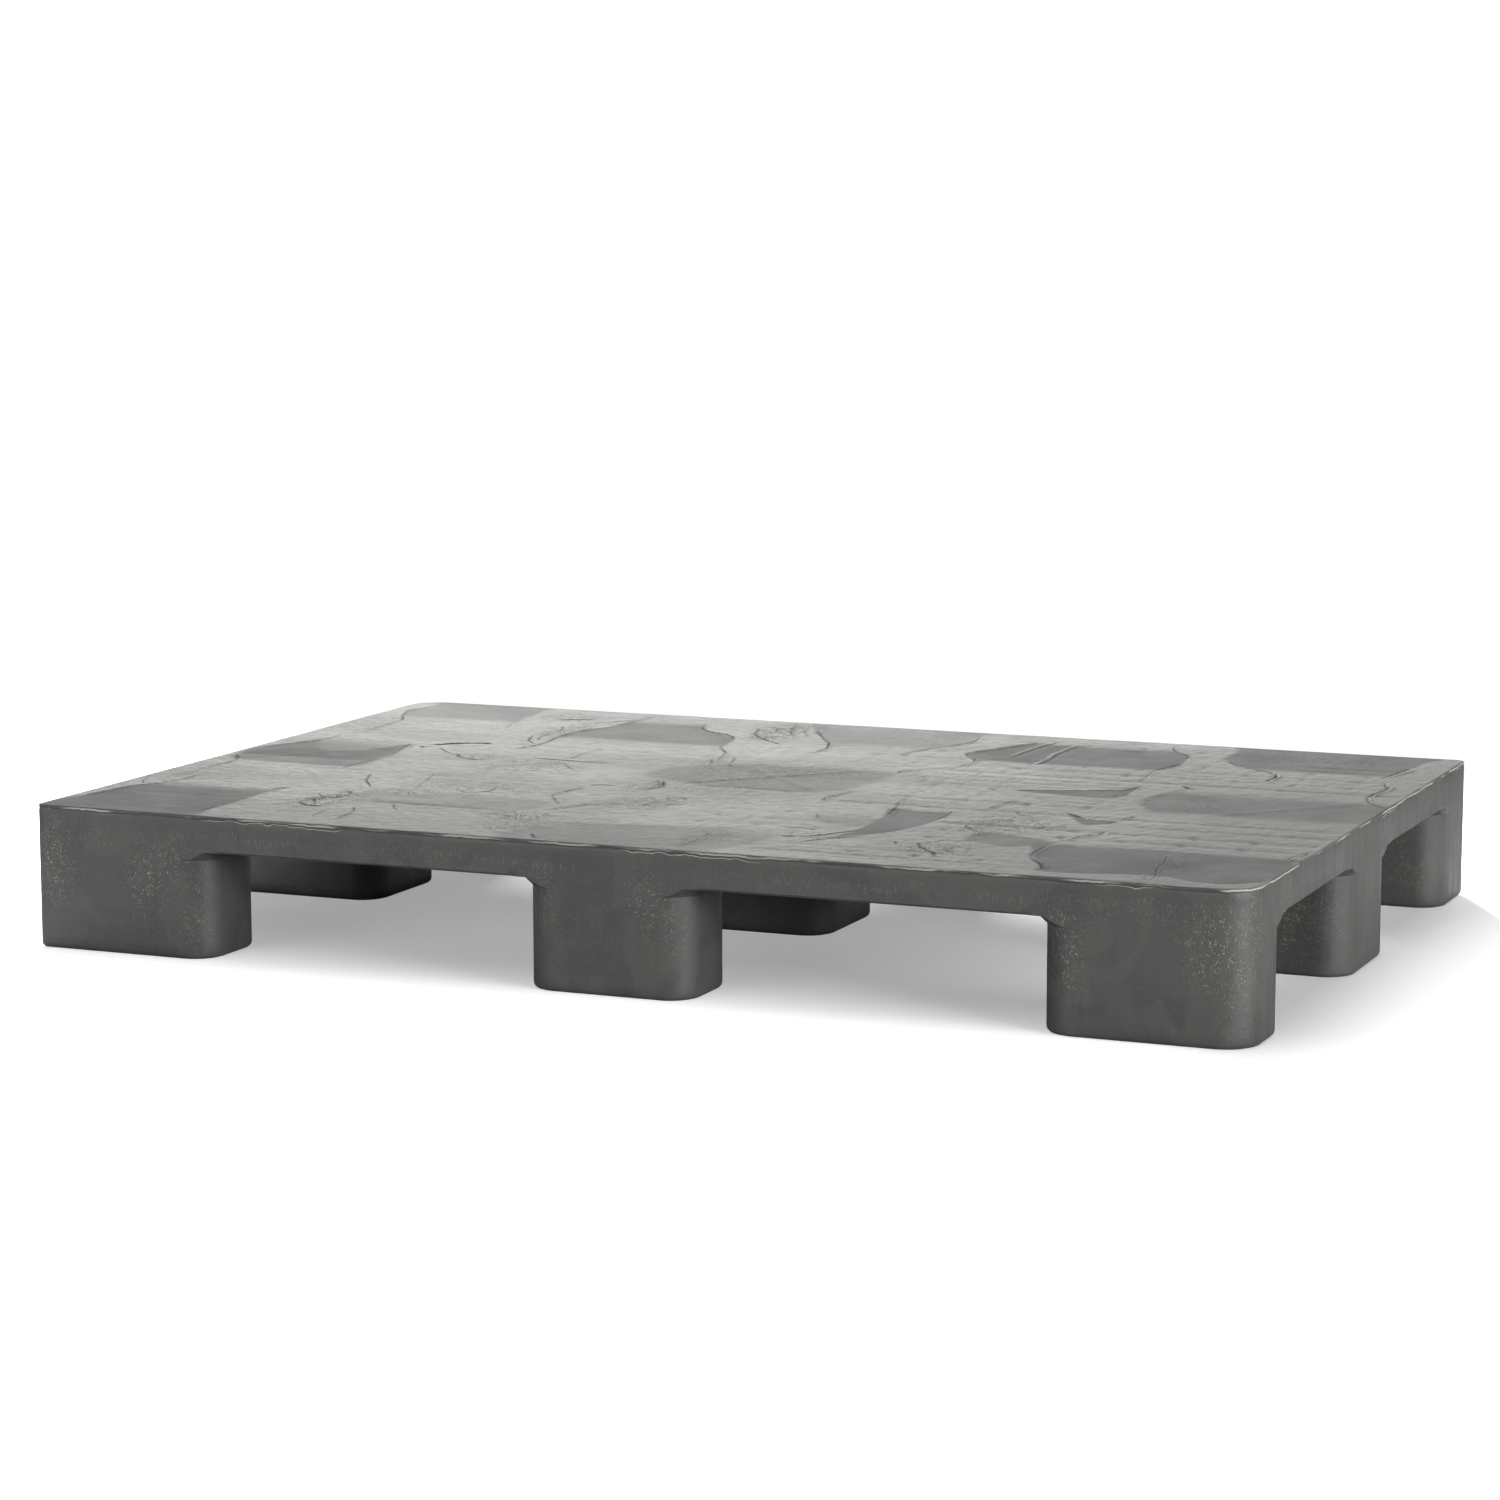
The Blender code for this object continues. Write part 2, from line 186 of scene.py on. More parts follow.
# Smooth dark skin. Each: how dark, width of its edge in mm, where it fades out (pairs of a start and an
# end along Y, in mm), then its outline in mm.
PATCHES = (
    # rear row
    (0.75, 4, ((292, 262),), (
        (-567, 420), (-438, 420), (-436, 350), (-428, 300), (-419, 262), (-430, 225), (-548, 225),
        (-554, 258), (-568, 290), (-580, 325), (-569, 360))),
    (0.95, 4, ((316, 350), (215, 180)), (
        (-306, 350), (-311, 300), (-325, 258), (-333, 232), (-331, 195), (-322, 150), (-120, 150),
        (-142, 190), (-147, 220), (-154, 254), (-171, 279), (-200, 296), (-217, 320), (-225, 350))),
    (0.60, 4, ((285, 240),), (
        (-112, 420), (-96, 345), (-83, 325), (-67, 296), (-46, 258), (-35, 222), (-40, 190),
        (54, 190), (54, 228), (62, 262), (78, 292), (90, 325), (84, 375), (84, 420))),
    (1.3, 4, ((328, 352), (222, 200)), (
        (162, 372), (150, 338), (138, 310), (125, 283), (112, 250), (119, 233), (135, 208),
        (138, 180), (330, 180), (328, 215), (340, 258), (335, 292), (329, 317), (308, 346),
        (300, 372))),
    (1.05, 5, ((272, 240),), (
        (372, 420), (371, 360), (368, 322), (377, 300), (400, 271), (433, 246), (448, 224),
        (546, 224), (549, 242), (555, 279), (562, 317), (568, 360), (570, 420))),
    # middle row
    (0.85, 7, ((44, 114),), (
        (-556, 102), (-562, 71), (-575, 42), (-592, 2), (-587, -40), (-569, -74), (-440, -70),
        (-436, -20), (-437, 10), (-440, 36), (-449, 67), (-455, 100))),
    (1.2, 6, ((-24, -66),), (
        (-562, 68), (-548, 54), (-538, 30), (-512, 14), (-492, 14), (-470, 34), (-453, 74),
        (-446, 62), (-439, 30), (-436, -20), (-440, -75), (-569, -75), (-588, -42), (-592, 2),
        (-576, 40))),
    (0.60, 9, ((-48, -66),), (
        (-138, 20), (-118, 58), (-84, 84), (-40, 96), (20, 100), (84, 96), (96, 60), (92, 10),
        (84, -30), (40, -66), (-40, -70), (-84, -40), (-130, -20))),
    (0.95, 5, ((62, 102), (-22, -58)), (
        (386, 108), (470, 104), (570, 106), (600, 92), (600, -70), (420, -70), (398, -36), (378, 4),
        (373, 42), (381, 71))),
    (0.55, 6, ((60, 100), (10, -30)), (
        (392, 104), (440, 104), (448, 60), (446, 10), (436, -30), (400, -36), (376, 0), (373, 42),
        (381, 71))),
    (1.25, 3, (), (
        (237, 37), (262, 46), (290, 55), (318, 68), (334, 80), (344, 100), (347, 58), (338, 34),
        (326, 23), (300, 23), (258, 29))),
    # between the middle row and the front row
    (1.05, 3, ((-262, -316),), (
        (166, -114), (196, -120), (228, -120), (230, -165), (227, -198), (212, -242), (187, -275),
        (158, -314), (162, -300), (175, -270), (181, -236), (180, -200), (174, -150))),
    (1.1, 3, (), (
        (328, -74), (344, -86), (360, -101), (385, -104), (384, -120), (364, -134), (350, -112))),
    (0.45, 6, (), (
        (284, -92), (306, -118), (300, -128), (274, -140), (268, -168), (278, -194), (292, -190),
        (286, -160), (296, -142), (316, -130))),
    (0.9, 5, (), (
        (290, -210), (326, -216), (358, -226), (363, -246), (338, -276), (312, -262), (290, -256))),
    (0.45, 9, (), (
        (108, -168), (136, -172), (176, -176), (178, -214), (168, -228), (138, -212), (118, -196))),
    (0.45, 8, ((-214, -176), (-262, -300)), (
        (-332, -170), (-180, -176), (-150, -200), (-152, -262), (-170, -306), (-318, -306),
        (-332, -262))),
    # front row
    (1.15, 4, ((-262, -228),), (
        (-551, -190), (-428, -190), (-433, -237), (-431, -292), (-431, -333), (-438, -420),
        (-590, -420), (-583, -317), (-575, -267), (-554, -229))),
    (0.55, 8, ((-300, -262),), (
        (-102, -420), (-104, -345), (-96, -310), (-40, -296), (20, -280), (60, -268), (106, -266),
        (122, -300), (121, -346), (98, -392), (84, -420))),
    (1.3, 4, ((-252, -238),), (
        (371, -230), (369, -292), (377, -317), (396, -346), (408, -380), (500, -362), (556, -380),
        (597, -350), (604, -300), (596, -262), (585, -230))),
)

# Creases where melt fronts met. Each: strength, half width in mm, then its line in mm.
CREASES = (
    # left border
    (0.8, 1.6, ((-567, 367), (-579, 325), (-568, 287), (-554, 258), (-548, 233), (-546, 167), (-550, 150))),
    (0.9, 1.8, ((-558, 127), (-556, 100), (-562, 71), (-575, 42), (-590, 4))),
    (1.0, 2.0, ((-590, -38), (-569, -75), (-565, -88), (-569, -137), (-571, -225))),
    (1.0, 2.0, ((-549, -168), (-550, -200), (-554, -229), (-575, -267), (-583, -317), (-584, -352))),
    (0.7, 1.6, ((-589, -212), (-582, -236), (-572, -252))),
    # left column of feet, right sides
    (0.6, 1.5, ((-441, 385), (-433, 330), (-425, 283), (-419, 250), (-414, 226))),
    (0.9, 1.8, ((-455, 96), (-450, 67), (-440, 33), (-435, 0), (-438, -30), (-440, -70), (-435, -98))),
    (0.8, 1.8, ((-427, -208), (-433, -237), (-431, -292), (-431, -333), (-437, -392))),
    # rear bay, left
    (0.7, 1.5, ((-303, 396), (-306, 345), (-311, 300), (-325, 258), (-334, 230))),
    (1.2, 2.2, ((-334, 236), (-331, 192), (-329, 150), (-333, 116), (-337, 98))),
    (0.8, 1.4, ((-362, 200), (-352, 164), (-334, 140))),
    (0.7, 1.4, ((-351, 215), (-350, 190), (-340, 160))),
    (0.5, 1.4, ((-352, 284), (-338, 305), (-318, 330), (-310, 350))),
    (0.5, 1.4, ((-344, 262), (-330, 292), (-316, 312))),
    (0.5, 1.4, ((-362, 268), (-350, 240), (-352, 222))),
    (0.8, 1.6, ((-226, 352), (-217, 320), (-200, 296), (-171, 279), (-154, 254), (-147, 220), (-142, 192),
                (-121, 158), (-110, 117), (-106, 92))),
    (1.3, 3.0, ((-428, 94), (-421, 100), (-404, 115), (-385, 124), (-374, 126))),
    (1.0, 2.4, ((-436, 80), (-432, 72))),
    (0.8, 2.6, ((-386, 312), (-370, 322), (-352, 334))),
    (0.6, 1.6, ((-392, 372), (-384, 358))),
    # rear, beside the middle column of feet
    (1.0, 2.0, ((-156, 336), (-152, 320), (-142, 287), (-121, 262), (-104, 246), (-90, 232))),
    (0.8, 1.8, ((-137, 390), (-127, 362), (-118, 330), (-100, 296), (-86, 264))),
    (0.8, 1.6, ((-148, 352), (-136, 342), (-132, 310), (-140, 290))),
    (0.7, 1.6, ((-122, 348), (-112, 318), (-108, 292), (-118, 276), (-128, 268))),
    (0.6, 1.4, ((-104, 340), (-98, 322), (-88, 304), (-84, 282))),
    (0.9, 1.8, ((-94, 340), (-83, 325), (-67, 296), (-46, 258), (-35, 224), (-38, 198), (-41, 168))),
    (0.8, 2.4, ((-37, 222), (-37, 208))),
    (0.9, 1.8, ((84, 378), (90, 325), (77, 292), (62, 262), (54, 229), (54, 196))),
    (0.8, 1.6, ((-98, 130), (-90, 108), (-86, 88), (-80, 74))),
    (0.6, 1.4, ((-116, 112), (-108, 92), (-104, 74))),
    # rear bay, right
    (1.0, 2.2, ((162, 362), (144, 325), (125, 283), (112, 252))),
    (0.8, 1.7, ((112, 250), (121, 228), (135, 208), (138, 183), (129, 134))),
    (0.7, 1.5, ((298, 371), (308, 346), (329, 317), (335, 292))),
    (1.3, 2.2, ((339, 262), (334, 236), (326, 212))),
    (0.7, 1.5, ((327, 210), (331, 167), (333, 133))),
    (0.8, 2.0, ((377, 302), (400, 271), (433, 246), (446, 226))),
    (1.4, 2.4, ((446, 232), (450, 210), (449, 180))),
    (1.2, 2.6, ((562, 318), (556, 282), (549, 244))),
    (1.0, 2.2, ((560, 217), (566, 200), (573, 183), (568, 150), (565, 125))),
    (0.9, 1.8, ((565, 125), (575, 92), (592, 71), (598, 60))),
    # middle row
    (1.3, 2.6, ((110, 130), (98, 118), (92, 110), (96, 92))),
    (1.1, 2.2, ((382, 124), (392, 104))),
    (0.9, 2.0, ((391, 104), (381, 71), (373, 42), (370, 20))),
    (1.0, 2.4, ((344, 104), (341, 84), (330, 76))),
    (0.8, 1.8, ((238, 36), (262, 46), (290, 55), (318, 68), (334, 79))),
    (0.7, 1.8, ((346, 60), (338, 34), (328, 22))),
    (0.9, 2.0, ((97, -22), (88, -55), (84, -76), (90, -98))),
    (0.8, 1.6, ((160, -44), (160, -75), (168, -104))),
    (1.0, 2.0, ((261, -18), (255, -50), (250, -76))),
    (0.8, 2.4, ((-296, 48), (-254, 45), (-215, 46), (-199, 48))),
    (0.8, 1.8, ((-256, 144), (-257, 110), (-254, 84), (-253, 58))),
    (0.6, 1.6, ((-254, 40), (-256, 10), (-252, -38))),
    (0.5, 1.6, ((-260, 30), (-280, 4), (-304, -26), (-308, -50))),
    (0.5, 1.6, ((-248, 30), (-228, 2), (-206, -24))),
    (0.7, 2.2, ((-376, 48), (-364, 28), (-348, 20), (-336, 16))),
    (0.6, 1.6, ((-416, 80), (-400, 60), (-384, 46), (-368, 36))),
    (0.9, 1.8, ((-104, -40), (-92, -66), (-90, -80), (-100, -104))),
    (0.7, 1.4, ((-112, -36), (-100, -58), (-96, -74))),
    # between the middle and the front row
    (0.9, 2.2, ((-158, -92), (-148, -86), (-134, -85))),
    (0.9, 2.0, ((-156, -96), (-165, -137), (-162, -167), (-142, -204), (-138, -212))),
    (0.9, 2.6, ((-79, -179), (-96, -190), (-112, -200), (-125, -225), (-127, -248))),
    (0.7, 1.6, ((-46, -126), (-32, -146), (-42, -176), (-50, -206))),
    (0.6, 1.4, ((-56, -132), (-48, -152), (-56, -170), (-66, -200))),
    (0.7, 1.6, ((-393, -110), (-379, -146), (-367, -167), (-352, -190))),
    (0.6, 1.4, ((-336, -76), (-323, -125), (-312, -167), (-308, -184))),
    (0.6, 1.6, ((-275, -152), (-264, -172), (-247, -179), (-233, -160), (-238, -136))),
    (1.2, 2.2, ((-368, -210), (-350, -233), (-357, -254), (-371, -272), (-374, -290), (-354, -308),
                (-324, -303))),
    (1.0, 1.8, ((-376, -250), (-362, -254), (-350, -250))),
    (0.8, 1.6, ((-372, -268), (-360, -284), (-352, -300), (-344, -312))),
    (0.7, 1.4, ((-328, -312), (-324, -346), (-318, -366))),
    (0.9, 1.7, ((-310, -298), (-296, -329), (-296, -367))),
    (0.6, 1.4, ((-284, -262), (-276, -284), (-262, -302))),
    (0.9, 1.8, ((166, -100), (172, -124), (176, -150))),
    (0.8, 1.5, ((224, -106), (228, -132), (229, -160))),
    (1.0, 2.4, ((124, -296), (154, -287), (172, -258), (180, -240))),
    (0.9, 2.2, ((158, -318), (172, -296), (198, -266))),
    (0.9, 2.2, ((112, -250), (128, -248), (142, -246))),
    (0.8, 1.6, ((112, -168), (117, -182), (124, -196))),
    (0.9, 1.8, ((284, -86), (288, -98), (302, -112))),
    (0.8, 1.6, ((328, -73), (346, -90), (362, -101), (386, -104))),
    (0.9, 1.8, ((393, -66), (386, -102), (382, -124))),
    (1.4, 2.6, ((393, -162), (382, -196), (368, -236))),
    (0.7, 2.6, ((356, -142), (338, -156), (326, -170))),
    (0.7, 1.8, ((266, -140), (262, -168), (272, -192), (292, -210))),
    (0.9, 1.7, ((254, -280), (266, -304), (287, -328), (286, -342))),
    (0.7, 1.4, ((232, -282), (240, -296))),
    (0.7, 1.4, ((300, -278), (292, -300), (296, -318))),
    (1.0, 2.0, ((369, -250), (369, -292), (377, -317), (396, -346), (406, -376))),
    (0.7, 1.6, ((62, -300), (67, -330), (66, -360), (58, -384))),
    (0.6, 1.4, ((484, -262), (490, -300), (500, -350), (506, -384))),
    (0.7, 1.8, ((597, -350), (578, -366), (556, -380))),
    (0.8, 1.8, ((-84, -372), (-78, -384), (-74, -394))),
    (0.9, 1.8, ((596, -200), (588, -226), (586, -246))),
)

# Pale raised lines inside a dark patch: strength, half width in mm, then the line in mm.
RIDGES = (
    (0.8, 3.0, ((172, 360), (166, 330), (162, 290), (160, 236))),
    (1.0, 3.2, ((199, 348), (198, 290), (202, 240), (199, 196))),
)

# Wrinkled skin: middle and half spans in mm, and strength.
WRINKLES = (
    (-120, 318, 36, 62, 1.0), (-354, -262, 26, 52, 1.0), (-138, -285, 40, 26, 1.0), (-120, -340, 36, 40, 0.5),
    (300, -165, 46, 60, 0.7), (282, -300, 40, 40, 0.7), (-380, 330, 34, 26, 0.6), (-105, -70, 20, 36, 0.8),
    (-60, -170, 40, 36, 0.6), (-345, 250, 22, 60, 0.6), (-300, -200, 50, 24, 0.5), (-350, 30, 30, 24, 0.6),
    (-270, -10, 60, 50, 0.45), (60, 60, 40, 30, 0.4), (430, 20, 30, 60, 0.4), (-100, 84, 26, 26, 0.7),
    (70, -330, 24, 60, 0.5), (150, -290, 36, 26, 0.5), (500, -320, 20, 70, 0.5),
    (-20, 60, 110, 50, 0.5), (-60, 0, 60, 70, 0.4), (-40, -70, 90, 30, 0.4), (-260, -160, 70, 50, 0.4),
    (30, 340, 60, 50, 0.3), (470, 330, 80, 50, 0.3), (150, 80, 60, 50, 0.3),
)

# Broad marks over the diagonal webs in the feet: centre and half spans in mm, and strength.
WEB_MARKS = ((-12, 28, 66, 66, 1.0), (-510, 6, 62, 66, 0.4), (512, 20, 56, 60, 0.5))

# Long sunk lines along X, over the tubes' channels: Y, start, end in mm, and strength.
LONG_MARKS = ((133, 104, 600, 1.0), (-90, 90, 600, 0.9), (126, -360, -90, 0.35), (-94, -540, -200, 0.35),
              (-128, 395, 600, 0.8), (-169, 225, 600, 0.75), (-209, 395, 600, 0.6), (-327, 120, 330, 0.6),
              (-362, 118, 360, 0.9), (-376, 118, 360, 0.5), (-44, 110, 360, 0.6), (-17, 110, 350, 0.4),
              (104, 120, 340, 0.5), (82, 118, 345, 0.5), (50, 118, 235, 0.4), (172, 130, 560, 0.4),
              (212, 335, 560, 0.5), (190, 335, 565, 0.4), (262, 450, 548, 0.8), (289, 450, 556, 0.8),
              (-262, -320, -180, 1.1), (-52, -60, 60, 0.7), (-290, -600, -440, 0.3), (300, 335, 370, 0.5),
              (-245, 120, 150, 0.6))


def near(x, y, points, reach):
    """Which points lie within reach, in mm, of the box round a line given in mm."""
    points = np.array(points, float)
    low, high = (points.min(axis=0) - reach) * MM, (points.max(axis=0) + reach) * MM
    return (x > low[0]) & (x < high[0]) & (y > low[1]) & (y < high[1])


def patch_fields(x, y):
    """How deep in smooth dark skin each point is, in widths of the skin's edge, and how dark it is."""
    warped_x = x + 2.5 * MM * WARP_X.rough(x, y, size=0.026) + 1.0 * MM * WARP_X(x, y, size=0.006)
    warped_y = y + 4.0 * MM * WARP_Y.rough(x, y, size=0.030)
    edge = np.full(x.shape, FAR_FROM_PATCH)
    dark = np.zeros(x.shape)
    for darkness, width, fades, outline_points in PATCHES:
        here = near(x, y, outline_points, 9 * width)
        line = curve_through(outline_points, steps=5, closed=True)
        at_x, at_y = warped_x[here], warped_y[here]
        distance, _ = distance_to(line, at_x, at_y, closed=True)
        depth = np.full(at_x.shape, darkness)
        for start, end in fades:
            depth *= 1 - smooth(start * MM, end * MM, at_y)
        scaled = np.clip(distance / (width * MM), -FAR_FROM_PATCH, FAR_FROM_PATCH)
        depth *= smooth(3.0, 0.0, scaled)
        dark[here] = np.maximum(dark[here], depth)
        edge[here] = np.minimum(edge[here], scaled)
    return edge, dark


def in_layers(lines, room=15, count=3):
    """Deals lines out to layers so that the lines of one layer keep clear of each other."""
    layers = [[] for _ in range(count)]
    taken = [[] for _ in range(count)]
    for line in lines:
        points = curve_through(line[2], steps=4) / MM
        gaps = []
        for other in taken:
            spans = [np.min(np.linalg.norm(points[:, None] - placed[None], axis=-1)) for placed in other]
            gaps.append(min(spans, default=math.inf))
        best = next((k for k, gap in enumerate(gaps) if gap > room), int(np.argmax(gaps)))
        layers[best].append(line)
        taken[best].append(points)
    return layers


CREASE_LAYERS = in_layers(CREASES + RIDGES)


def crease_fields(x, y):
    """For each layer: signed distance to its nearest crease, in half widths, and that one's strength.

    Ridges count as creases of negative strength.
    """
    wobble_x = (x + 1.3 * MM * RAGGED.rough(x, y, size=(0.010, 0.016, 1.0))
                + 2.0 * MM * SWELL(x, y, size=0.04))
    wobble_y = y + 2.0 * MM * RAGGED.rough(y, x, size=0.018)
    fields = []
    for layer in CREASE_LAYERS:
        gap = np.full(x.shape, FAR_FROM_CREASE)
        strength = np.zeros(x.shape)
        for tall, width, points in layer:
            here = near(x, y, points, 14)
            distance, along = distance_to(curve_through(points), wobble_x[here], wobble_y[here])
            scaled = distance / (width * MM)
            taper = smooth(0.0, 0.10, along) * smooth(1.0, 0.85, along)
            uneven = 0.75 + 0.5 * SWELL(x[here], y[here], size=0.022)
            size = tall * taper * uneven * smooth(5.5, 3.5, np.abs(scaled))
            closer = np.abs(scaled) < np.abs(gap[here])
            gap[here] = np.where(closer, scaled, gap[here])
            if (tall, width, points) in RIDGES:
                size = -size
            strength[here] = np.where(closer, size, strength[here])
        fields.append((np.clip(gap, -FAR_FROM_CREASE, FAR_FROM_CREASE), strength))
    return fields


def rib_lines(low, high, pitch):
    """Middles of the ribs that split a span into equal pockets."""
    count = round((high - low) / pitch)
    step = (high - low + RIB) / count
    return [low + k * step - RIB / 2 for k in range(1, count)]


def rib_bays():
    """Rib lines along X and Y, with the box that they cross, for every ribbed part of the deck."""
    beside = FOOT_FLARE + RIB
    end_x = HALF_X - END_FOOT - beside
    middle_x = MIDDLE_FOOT / 2 + beside
    side_y = HALF_Y - SIDE_FOOT - beside
    channel_y = TUBE_Y + RETAINER_HALF_WIDTH + RIB
    rim_x, rim_y = HALF_X - RIM_WALL, HALF_Y - RIM_WALL
    boxes = [((-rim_x, channel_y), (rim_x, side_y)), ((-rim_x, -side_y), (rim_x, -channel_y))]
    for end in (-1, 1):
        x_low, x_high = sorted((end * middle_x, end * end_x))
        boxes.append(((x_low, -CENTRE_FOOT / 2), (x_high, CENTRE_FOOT / 2)))
        for side in (-1, 1):
            y_low, y_high = sorted((side * (side_y + beside), side * rim_y))
            boxes.append(((x_low, y_low), (x_high, y_high)))
    return [(rib_lines(low[0], high[0], RIB_PITCH_X), rib_lines(low[1], high[1], RIB_PITCH_Y), low, high)
            for low, high in boxes]


def sink_marks(x, y, dark):
    """Depth in mm of the dents above the ribs, deepest where two ribs cross."""
    overall, along_x, along_y, crossing = 1.7, 0.16, 0.10, (0.25, 0.75)
    width_x, width_y = 4.5 * MM, 2.6 * MM
    depth = np.zeros(x.shape)
    clear = 1 - 0.8 * np.clip(dark, 0, 1)
    strength = (0.30 + 0.70 * smooth(-0.10, 0.20, x + 0.04 * SWELL(x, y, size=0.15))) * clear
    for x_lines, y_lines, low, high in rib_bays():
        box = [(low[0] / MM, low[1] / MM), (high[0] / MM, high[1] / MM)]
        here = near(x, y, box, 4)
        at_x, at_y = x[here], y[here]
        wander = 1.5 * MM * WARP_Y(at_x, at_y, size=0.07)
        found = np.zeros(at_x.shape)
        for line_x in x_lines:
            found += along_y * np.exp(-((at_x - line_x) / width_y) ** 2)
        for line_y in y_lines:
            found += along_x * np.exp(-((at_y - line_y - wander) / width_x) ** 2)
            for line_x in x_lines:
                size = 0.5 + 0.5 * SWELL(line_x, line_y, size=0.01)
                gap = ((at_x - line_x) / (4.6 * MM)) ** 2 + ((at_y - line_y) / (5.0 * MM)) ** 2
                found += (crossing[0] + crossing[1] * size) * np.exp(-gap)
        depth[here] += found
    return overall * depth * strength


def top_relief(x, y):
    """Height of the deck's top over its highest point, in metres. Worked out in millimetres."""
    edge, dark = patch_fields(x, y)
    height = 0.30 * SWELL.rough(x, y, size=(0.12, 0.09, 1.0), octaves=3)
    uneven = WARP_X.rough(x, y, size=(0.036, 0.030, 1.0), octaves=3)
    height += 0.38 * uneven * (1 - 0.6 * np.clip(dark, 0, 1))
    height -= sink_marks(x, y, dark)
    height -= 0.15 * np.clip(dark, 0, 1) * smooth(1.5, -1.5, edge)
    for gap, strength in crease_fields(x, y):
        lip = np.exp(-((gap - 1.6) / 1.3) ** 2)
        groove = np.exp(-((gap + 0.2) / 1.1) ** 2)
        height += 0.7 * strength * (0.7 * lip - groove)
    for line_y, start, end, tall in LONG_MARKS:
        here = near(x, y, ((start, line_y), (end, line_y)), 16)
        at_x, at_y = x[here], y[here]
        span = smooth(start - 6, start + 16, at_x / MM) * smooth(end + 6, end - 16, at_x / MM)
        wander = line_y + 2.2 * WARP_Y(at_x, at_y, size=0.11)
        height[here] -= 1.2 * tall * span * np.exp(-((at_y / MM - wander) / 4.6) ** 2)
    for middle_x, middle_y, span_x, span_y, tall in WEB_MARKS:
        u, v = (x / MM - middle_x) / span_x, (y / MM - middle_y) / span_y
        within = smooth(1.15, 0.85, np.maximum(np.abs(u), np.abs(v)))
        for lean in (-1, 1):
            height += 1.0 * tall * within * np.exp(-((u - lean * v) / 0.11) ** 2)
    wrinkle = wrinkle_field(x, y)
    folds = np.abs(RAGGED.rough(x, y, size=(0.016, 0.026, 1.0)))
    height += 1.5 * wrinkle * (0.25 - folds)
    return np.minimum(height - SKIN_CEILING, 0.0) * MM


def wrinkle_field(x, y):
    """How wrinkled the skin is, from 0 to about 1."""
    found = np.zeros(x.shape)
    for middle_x, middle_y, span_x, span_y, amount in WRINKLES:
        gap = ((x / MM - middle_x) / span_x) ** 2 + ((y / MM - middle_y) / span_y) ** 2
        found = np.maximum(found, amount * np.exp(-gap ** 2))
    return found


# ---------------------------------------------------------------- deck

def grid_lines(half, fine_zone, fine_step, step):
    """Grid positions from -half to half, closer together in a zone at each end."""
    edge = -half + np.arange(round(fine_zone / fine_step)) * fine_step
    inner = half - fine_zone
    middle = np.linspace(-inner, inner, 2 * round(inner / step) + 1)
    return np.concatenate([edge, middle, -edge[::-1]])


def corner_signs():
    """Front right, rear right, rear left, front left."""
    return ((1, -1), (1, 1), (-1, 1), (-1, -1))


def round_corners(x, y, half_x, half_y, radii):
    """Moves the points of a rectangular grid so that its corners become arcs."""
    for (sign_x, sign_y), radius in zip(corner_signs(), radii):
        a = sign_x * x - (half_x - radius)
        b = sign_y * y - (half_y - radius)
        inside = (a > 0) & (b > 0)
        large, little = np.maximum(a, b), np.minimum(a, b)
        turn = math.pi / 4 * little / np.where(inside, large, 1.0)
        far, near = large * np.cos(turn), large * np.sin(turn)
        x = np.where(inside, sign_x * (half_x - radius + np.where(a >= b, far, near)), x)
        y = np.where(inside, sign_y * (half_y - radius + np.where(a >= b, near, far)), y)
    return x, y


def outward(x, y, half_x, half_y, radii):
    """Unit normals, in plan, of points on a rectangle's rounded border."""
    normal = np.stack([np.where(np.isclose(np.abs(x), half_x), np.sign(x), 0.0),
                       np.where(np.isclose(np.abs(y), half_y), np.sign(y), 0.0)], axis=-1)
    for (sign_x, sign_y), radius in zip(corner_signs(), radii):
        a = sign_x * x - (half_x - radius)
        b = sign_y * y - (half_y - radius)
        inside = (a > -1e-9) & (b > -1e-9)
        length = np.maximum(np.hypot(a, b), 1e-9)
        arc = np.stack([sign_x * a / length, sign_y * b / length], axis=-1)
        normal = np.where(inside[..., None], arc, normal)
    return normal


def over_foot(x, y, margin=0.0):
    """1 where the deck's edge stands flush on a foot, else 0."""
    column = np.maximum(smooth(HALF_X - END_FOOT - 0.012, HALF_X - END_FOOT - 0.004, np.abs(x) + margin),
                        smooth(MIDDLE_FOOT / 2 + 0.012, MIDDLE_FOOT / 2 + 0.004, np.abs(x) - margin))
    row = np.maximum(smooth(HALF_Y - SIDE_FOOT - 0.012, HALF_Y - SIDE_FOOT - 0.004, np.abs(y) + margin),
                     smooth(CENTRE_FOOT / 2 + 0.012, CENTRE_FOOT / 2 + 0.004, np.abs(y) - margin))
    return column * row


def side_relief(x, y, z):
    """How far the upright faces lie inside their own flat, in metres."""
    top_band = smooth(0.1320, 0.1345, z)
    wave = 0.0010 * RAGGED.rough(x, y, size=0.03)
    groove = np.exp(-((z - 0.1352 - wave) / 0.0010) ** 2)
    flow = 0.5 + 0.5 * EDGE_NOISE.rough(x, y, z, size=(0.05, 0.05, 0.012))
    swell = 0.5 + 0.5 * SWELL(x, y, z, size=0.06)
    depth = 0.10 * swell + 0.14 * flow + 0.30 * groove + 0.25 * top_band * flow
    return depth * MM * smooth(DECK_BOTTOM, DECK_BOTTOM + 0.006, z)


def make_mesh(name, vertices, faces):
    mesh = bpy.data.meshes.new(name)
    mesh.from_pydata(vertices, [], faces)
    mesh.update()
    mesh.validate()
    return mesh


def link(name, mesh):
    made = bpy.data.objects.new(name, mesh)
    bpy.context.scene.collection.objects.link(made)
    return made


